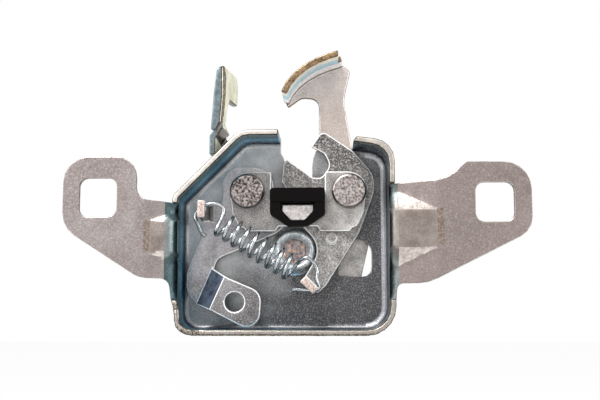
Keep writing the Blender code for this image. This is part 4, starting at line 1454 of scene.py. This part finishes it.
@dataclass
class Plate:
    """A flat lever or plate whose cut edges are softened and dressed."""

    node: str
    name: str
    body: Body
    face: Finish
    edge: float = 0.38
    tab_front: float = 0.3

    def build(self) -> None:
        """Refines the plate and hands it in."""
        piece = node_copy(self.node, self.name)
        round_sharp_edges(piece, self.edge)
        cut_grid(piece)
        smooth(piece, 36.0)
        dress(piece, self.zone)
        hand_in(piece, self.body, [self.node])

    def zone(self, spot: Vector, normal: Vector) -> Finish:
        """Chooses between the sheet's face, its cut edge, the painted highlight on the edge's front
        and a tab's end.

        Args:
            spot: The face's middle, in millimetres.
            normal: The way the face looks.

        Returns:
            The finish.
        """
        if spot.y < self.tab_front and normal.y < -MOSTLY:
            return Finish.TAB
        if abs(normal.y) > FLAT:
            return self.face
        # Edge faces turned to the front get a painted highlight.
        return Finish.BRIGHT if normal.y < -SLIGHTLY else Finish.EDGE


@dataclass
class BridgePlate(Plate):
    """The bridge plate with its nub."""

    nub_back: float = 9.1

    def zone(self, spot: Vector, normal: Vector) -> Finish:
        """Chooses the nub's finish, or else the plate's."""
        return Finish.NUB if spot.y < self.nub_back else super().zone(spot, normal)


@dataclass
class PawlLever(Plate):
    """The pawl with its riser and cable tab."""

    riser_facing: Spot = (-0.685, -0.659, 0.31)
    arm_end: float = -20.0

    def zone(self, spot: Vector, normal: Vector) -> Finish:
        """Chooses the riser's finish, or else the lever's.

        Args:
            spot: The face's middle, in millimetres.
            normal: The way the face looks.

        Returns:
            The finish.
        """
        # The riser's faces get a painted blue reflection.
        slanted = normal.dot(Vector(self.riser_facing)) > FLATTEST
        on_riser = slanted and spot.z < self.arm_end
        return Finish.RISER if on_riser else super().zone(spot, normal)


@dataclass
class SafetyHook(Plate):
    """The safety hook, with its flange and the finger."""

    edge: float = 0.4
    flange_back: float = 15.9
    finger: Point = (-20.0, 15.0)

    def zone(self, spot: Vector, normal: Vector) -> Finish:
        """Chooses between the body, the flange, the finger and their edges.

        Args:
            spot: The face's middle, in millimetres.
            normal: The way the face looks.

        Returns:
            The finish.
        """
        if spot.x < self.finger[0] and spot.z > self.finger[1]:
            return self.finger_zone(normal)
        if spot.y < self.flange_back:
            return self.flange_zone(normal)
        if spot.z < 0.0 and normal.y < 0.0:
            return Finish.PLATE
        return self.face if abs(normal.y) > MOSTLY else Finish.RIM_BROWN

    def finger_zone(self, normal: Vector) -> Finish:
        """Chooses between the finger's sides, its pad and the pad's edge.

        Args:
            normal: The way the face looks.

        Returns:
            The finish.
        """
        if normal.x > SQUARE and abs(normal.y) <= FLAT:
            return Finish.FINGER_PAD
        stained = normal.x > LEANING and abs(normal.y) <= FLAT
        return Finish.RIM_BROWN if stained else Finish.FINGER

    def flange_zone(self, normal: Vector) -> Finish:
        """Chooses between the flange's front edge, its ends, its underside and its top.

        Args:
            normal: The way the face looks.

        Returns:
            The finish.
        """
        if normal.y < -LEANING:
            return Finish.FLANGE_RIM
        if abs(normal.x) > FLAT:
            return Finish.RIM_BROWN
        # The underside gets the flange's painted highlight, reflection and shade.
        return Finish.HOOK_FLANGE if normal.z < 0 else self.face


@dataclass
class Rivet:
    """A cold-headed pivot rivet."""

    node: str
    centre: Point
    face: Finish
    head: float = 5.6
    head_height: float = 2.0
    shank: float = 3.0
    rear_head: float = 4.6
    rear_height: float = 1.7
    ring: float = 0.7

    def build(self) -> None:
        """Models the rivet from a disc and hands it in."""
        low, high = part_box(self.node)
        front = low.y / MM
        rear = high.y / MM
        head_back = front + self.head_height
        rear_front = rear - self.rear_height
        profile = [
            (self.head * 0.55, front + 0.12),
            (self.head * 0.8, front),
            (self.head - 0.55, front + 0.1),
            (self.head - 0.2, front + 0.4),
            (self.head, front + 0.9),
            (self.head, head_back - 0.2),
            (self.head - 0.2, head_back),
            (self.shank, head_back + 0.001),
            (self.shank, rear_front),
            (self.rear_head, rear_front + 0.001),
            (self.rear_head, rear - 0.6),
            (self.rear_head - 0.3, rear - 0.2),
            (self.rear_head - 1.0, rear),
        ]
        piece = turned_piece(self.node + "_headed", self.centre, profile)
        smooth(piece, 40.0)
        dress(piece, self.zone)
        hand_in(piece, Body.FRAME, [self.node])

    def zone(self, spot: Vector, normal: Vector) -> Finish:
        """Chooses between the struck face and the head's rolled edge."""
        struck = math.dist((spot.x, spot.z), self.centre) < self.head - self.ring
        return self.face if struck else Finish.RIVET_RING


@dataclass
class RoundPiece:
    """A bush or washer, softened at its edges."""

    node: str
    finish: Finish
    slot: Slot
    edge: float = 0.15

    def build(self) -> None:
        """Refines the round piece and hands it in."""
        piece = node_copy(self.node, self.node + "_turned")
        round_sharp_edges(piece, self.edge)
        smooth(piece, 36.0)
        dress(piece, lambda spot, normal: self.finish)
        hand_in(piece, Body.FRAME, [self.node])


@dataclass
class Buffer:
    """The rubber saddle, with its bar standing a little proud of the skirt."""

    bar_foot: float = 0.2
    proud: float = 0.25
    edge: float = 0.45

    def build(self) -> None:
        """Refines the buffer and hands it in."""
        piece = node_copy("buffer", "rubber_saddle")
        edit(piece)
        bpy.ops.mesh.select_all(action="SELECT")
        bpy.ops.mesh.bisect(
            plane_co=(0.0, 0.0, self.bar_foot * MM), plane_no=(0.0, 0.0, 1.0), threshold=1e-6
        )
        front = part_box("buffer")[0].y / MM
        select_parts(piece, Select.FACES, lambda face: self.on_bar(face, front))
        bpy.ops.mesh.extrude_region_move(
            TRANSFORM_OT_translate={"value": (0.0, -self.proud * MM, 0.0)}
        )
        deselect_all()
        round_sharp_edges(piece, self.edge, segments=3, clamp=True)
        smooth(piece, 40.0)
        dress(piece, lambda spot, normal: Finish.RUBBER)
        hand_in(piece, Body.FRAME, ["buffer"])

    def on_bar(self, face: Part, front: float) -> bool:
        """Tells whether a face is the bar's front, given the buffer's front in millimetres."""
        spot = middle_of(face)
        return face.normal.y < -SQUARE and spot.y < front + 0.1 and spot.z > self.bar_foot


@dataclass
class LatchSpring:
    """The extension spring in two halves, one at the pawl's end and one at the claw's."""

    wire: float = 1.2
    mean: float = 3.9
    turns: float = 8.5
    depth: float = 2.8
    start: Point = (-23.7, -7.4)
    end: Point = (-0.9, -21.8)
    per_turn: int = 32
    loop: tuple[Point, ...] = (
        (-28.9, -11.0),
        (-30.2, -10.3),
        (-31.6, -7.4),
        (-32.7, -4.6),
        (-31.6, -2.6),
        (-29.7, -1.1),
        (-27.2, -0.5),
        (-24.6, -0.9),
        (-23.4, -2.2),
        (-23.3, -3.9),
    )
    hook: tuple[Point, ...] = (
        (2.6, -17.6),
        (4.6, -18.7),
        (5.9, -20.6),
        (6.5, -22.4),
        (6.1, -25.2),
        (6.9, -26.8),
        (7.0, -27.6),
        (5.6, -28.1),
        (3.6, -28.1),
        (0.9, -28.0),
        (-1.6, -28.0),
    )

    def path(self) -> list[Spot]:
        """Works out the wire's centre line, from the pawl's loop to the claw's hook.

        Returns:
            The points of the centre line, in millimetres.
        """
        start = Vector(self.start)
        run = Vector(self.end) - start
        side = Vector((-run.y, run.x)).normalized()
        points = [(x, self.depth, z) for x, z in self.loop]
        first = -round(self.per_turn / 7)
        last = round(self.turns * self.per_turn) - round(self.per_turn / 14)
        for i in range(first, last + 1):
            swing = math.tau * i / self.per_turn
            share = i / (self.turns * self.per_turn)
            middle = start + run * share - side * (self.mean * math.cos(swing))
            points.append((middle.x, self.depth + self.mean * math.sin(swing), middle.y))
        points += [(x, self.depth, z) for x, z in self.hook]
        return eased(points)

    def build(self) -> None:
        """Models both halves as pieces of their own."""
        path = self.path()
        centre = (Vector(self.start) + Vector(self.end)) / 2
        half = min(
            range(len(path) // 4, 3 * len(path) // 4),
            key=lambda i: math.dist((path[i][0], path[i][2]), centre),
        )
        loop_side = wire_piece("spring_loop_half", path[: half + 1], self.wire)
        hook_side = wire_piece("spring_hook_half", path[half:], self.wire)
        for piece in (loop_side, hook_side):
            dress(piece, lambda spot, normal: Finish.WIRE)
            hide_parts("latch_spring")
        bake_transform(loop_side)
        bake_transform(hook_side)
        LOG.info("latch spring: %d points along the wire", len(path))


@dataclass
class HookSpring:
    """The torsion spring behind the hook."""

    node: str = "hook_spring"

    def build(self) -> None:
        """Refines the torsion spring and hands it in."""
        piece = node_copy(self.node, "torsion_spring")
        smooth(piece, 60.0)
        dress(piece, lambda spot, normal: Finish.WIRE)
        hand_in(piece, Body.FRAME, [self.node])


@dataclass(frozen=True)
class Lamp:
    """A square soft lamp that faces the latch: place and side in metres, power in watts."""

    name: str
    place: Spot
    side: float
    power: float

    def build(self) -> None:
        """Hangs the lamp."""
        data = bpy.data.lights.new(self.name, "AREA")
        data.size = self.side
        data.energy = self.power
        lamp = bpy.data.objects.new(self.name, data)
        lamp.location = self.place
        lamp.rotation_euler = (-Vector(self.place)).to_track_quat("-Z", "Y").to_euler()
        bpy.context.scene.collection.objects.link(lamp)


@dataclass
class Studio:
    """A white studio: floor, backdrop, soft lamps and the photograph's camera."""

    azimuth: float = 2.2
    elevation: float = -7.2
    distance: float = 284.4
    target: Spot = (1.1, -2.0, -0.2)
    focal_px: float = 910.0
    width_px: float = 600.0
    sensor: float = 36.0
    floor_drop: float = 160.0
    floor_width: float = 8.0
    floor_light: float = 1.1
    floor_glow: float = 0.85
    world_light: float = 0.3
    lamps: tuple[Lamp, ...] = (
        Lamp("key", (-0.3, -0.5, 0.75), 0.4, 11.0),
        Lamp("left_fill", (-0.85, -0.55, 0.25), 0.6, 4.0),
        Lamp("right_fill", (0.85, -0.5, 0.3), 0.6, 4.0),
    )

    def build(self) -> None:
        """Sets the camera, the world, the floor and the lamps."""
        self.camera()
        self.world()
        self.floor()
        for lamp in self.lamps:
            lamp.build()
        bpy.context.scene.view_settings.view_transform = "Standard"

    def camera(self) -> None:
        """Stands the camera where the photograph was taken from."""
        data = bpy.data.cameras.new("camera")
        data.sensor_width = self.sensor
        data.lens = self.focal_px / self.width_px * self.sensor
        data.clip_start = 0.01
        camera = bpy.data.objects.new("camera", data)
        turn = math.radians(self.azimuth)
        rise = math.radians(self.elevation)
        away = Vector(
            (
                math.sin(turn) * math.cos(rise),
                -math.cos(turn) * math.cos(rise),
                math.sin(rise),
            )
        )
        camera.location = (Vector(self.target) + away * self.distance) * MM
        camera.rotation_euler = (-away).to_track_quat("-Z", "Y").to_euler()
        bpy.context.scene.collection.objects.link(camera)
        bpy.context.scene.camera = camera

    def seen_share(self, tree: bpy.types.NodeTree) -> bpy.types.NodeSocket | bpy.types.Node:
        """Tells what the eye sees from what lights the latch.

        Args:
            tree: The node tree of the world or of the floor's material.

        Returns:
            1 for camera, mirror and glass rays, and 0 for the light on the latch.
        """
        path = add_node(tree, "LightPath")
        total = path.outputs["Is Camera Ray"]
        for name in ("Is Glossy Ray", "Is Transmission Ray"):
            total = add_node(tree, "Math", {0: total, 1: path.outputs[name]}, operation="MAXIMUM")
        return total

    def world(self) -> None:
        """Makes the world white to the eye and a plain soft light on the latch."""
        world = bpy.data.worlds.new("white_studio")
        world.use_nodes = True
        tree = world.node_tree
        tree.nodes.clear()
        levels = {"To Min": self.world_light, "To Max": 1.0}
        strength = add_node(tree, "MapRange", {"Value": self.seen_share(tree), **levels})
        light = add_node(tree, "Background", {"Color": linear("#ffffff"), "Strength": strength})
        add_node(tree, "OutputWorld", {"Surface": light})
        bpy.context.scene.world = world

    def floor(self) -> None:
        """Lays a pale floor well below the latch, which hangs on its mount."""
        deselect_all()
        bpy.ops.mesh.primitive_plane_add(
            size=self.floor_width, location=(0.0, 0.0, -self.floor_drop * MM)
        )
        floor = bpy.context.object
        floor.name = "studio_floor"
        # Matt white paint, lit up to the eye so that it runs into the white backdrop.
        material, tree = new_material("pale_studio_floor")
        seen = self.seen_share(tree)
        share = add_node(tree, "Math", {0: seen, 1: self.floor_glow}, operation="MULTIPLY")
        paint = add_node(tree, "BsdfDiffuse", {"Color": linear("#f4f4f2")})
        light = {"Color": linear("#ffffff"), "Strength": self.floor_light}
        glow = add_node(tree, "Emission", light)
        mixed = add_node(tree, "MixShader", {0: share, 1: paint, 2: glow})
        add_node(tree, "OutputMaterial", {"Surface": mixed})
        floor.data.materials.append(material)
        deselect_all()


def main() -> None:
    """Builds the latch piece by piece, then the studio."""
    logging.basicConfig(level=logging.INFO, format="%(message)s")
    Housing().build()
    BridgePlate("bridge_plate", "bridge", Body.FRAME, Finish.PLATE).build()
    Plate("claw", "rotary_claw", Body.CLAW, Finish.LEVER).build()
    PawlLever("pawl", "pawl_lever", Body.PAWL, Finish.PAWL).build()
    SafetyHook("safety_hook", "flanged_hook", Body.HOOK, Finish.HOOK).build()
    Rivet("pawl_rivet", (-16.5, 4.1), Finish.RIVET).build()
    Rivet("claw_rivet", (16.6, 4.1), Finish.RIVET_LIGHT).build()
    for node in ("claw_bush", "pawl_bush", "hook_bush"):
        RoundPiece(node, Finish.BRIGHT, Slot.RIVET).build()
    RoundPiece("rear_washer", Finish.OUTER, Slot.ZINC).build()
    Buffer().build()
    LatchSpring().build()
    HookSpring().build()
    Studio().build()


if __name__ == "__main__":
    main()
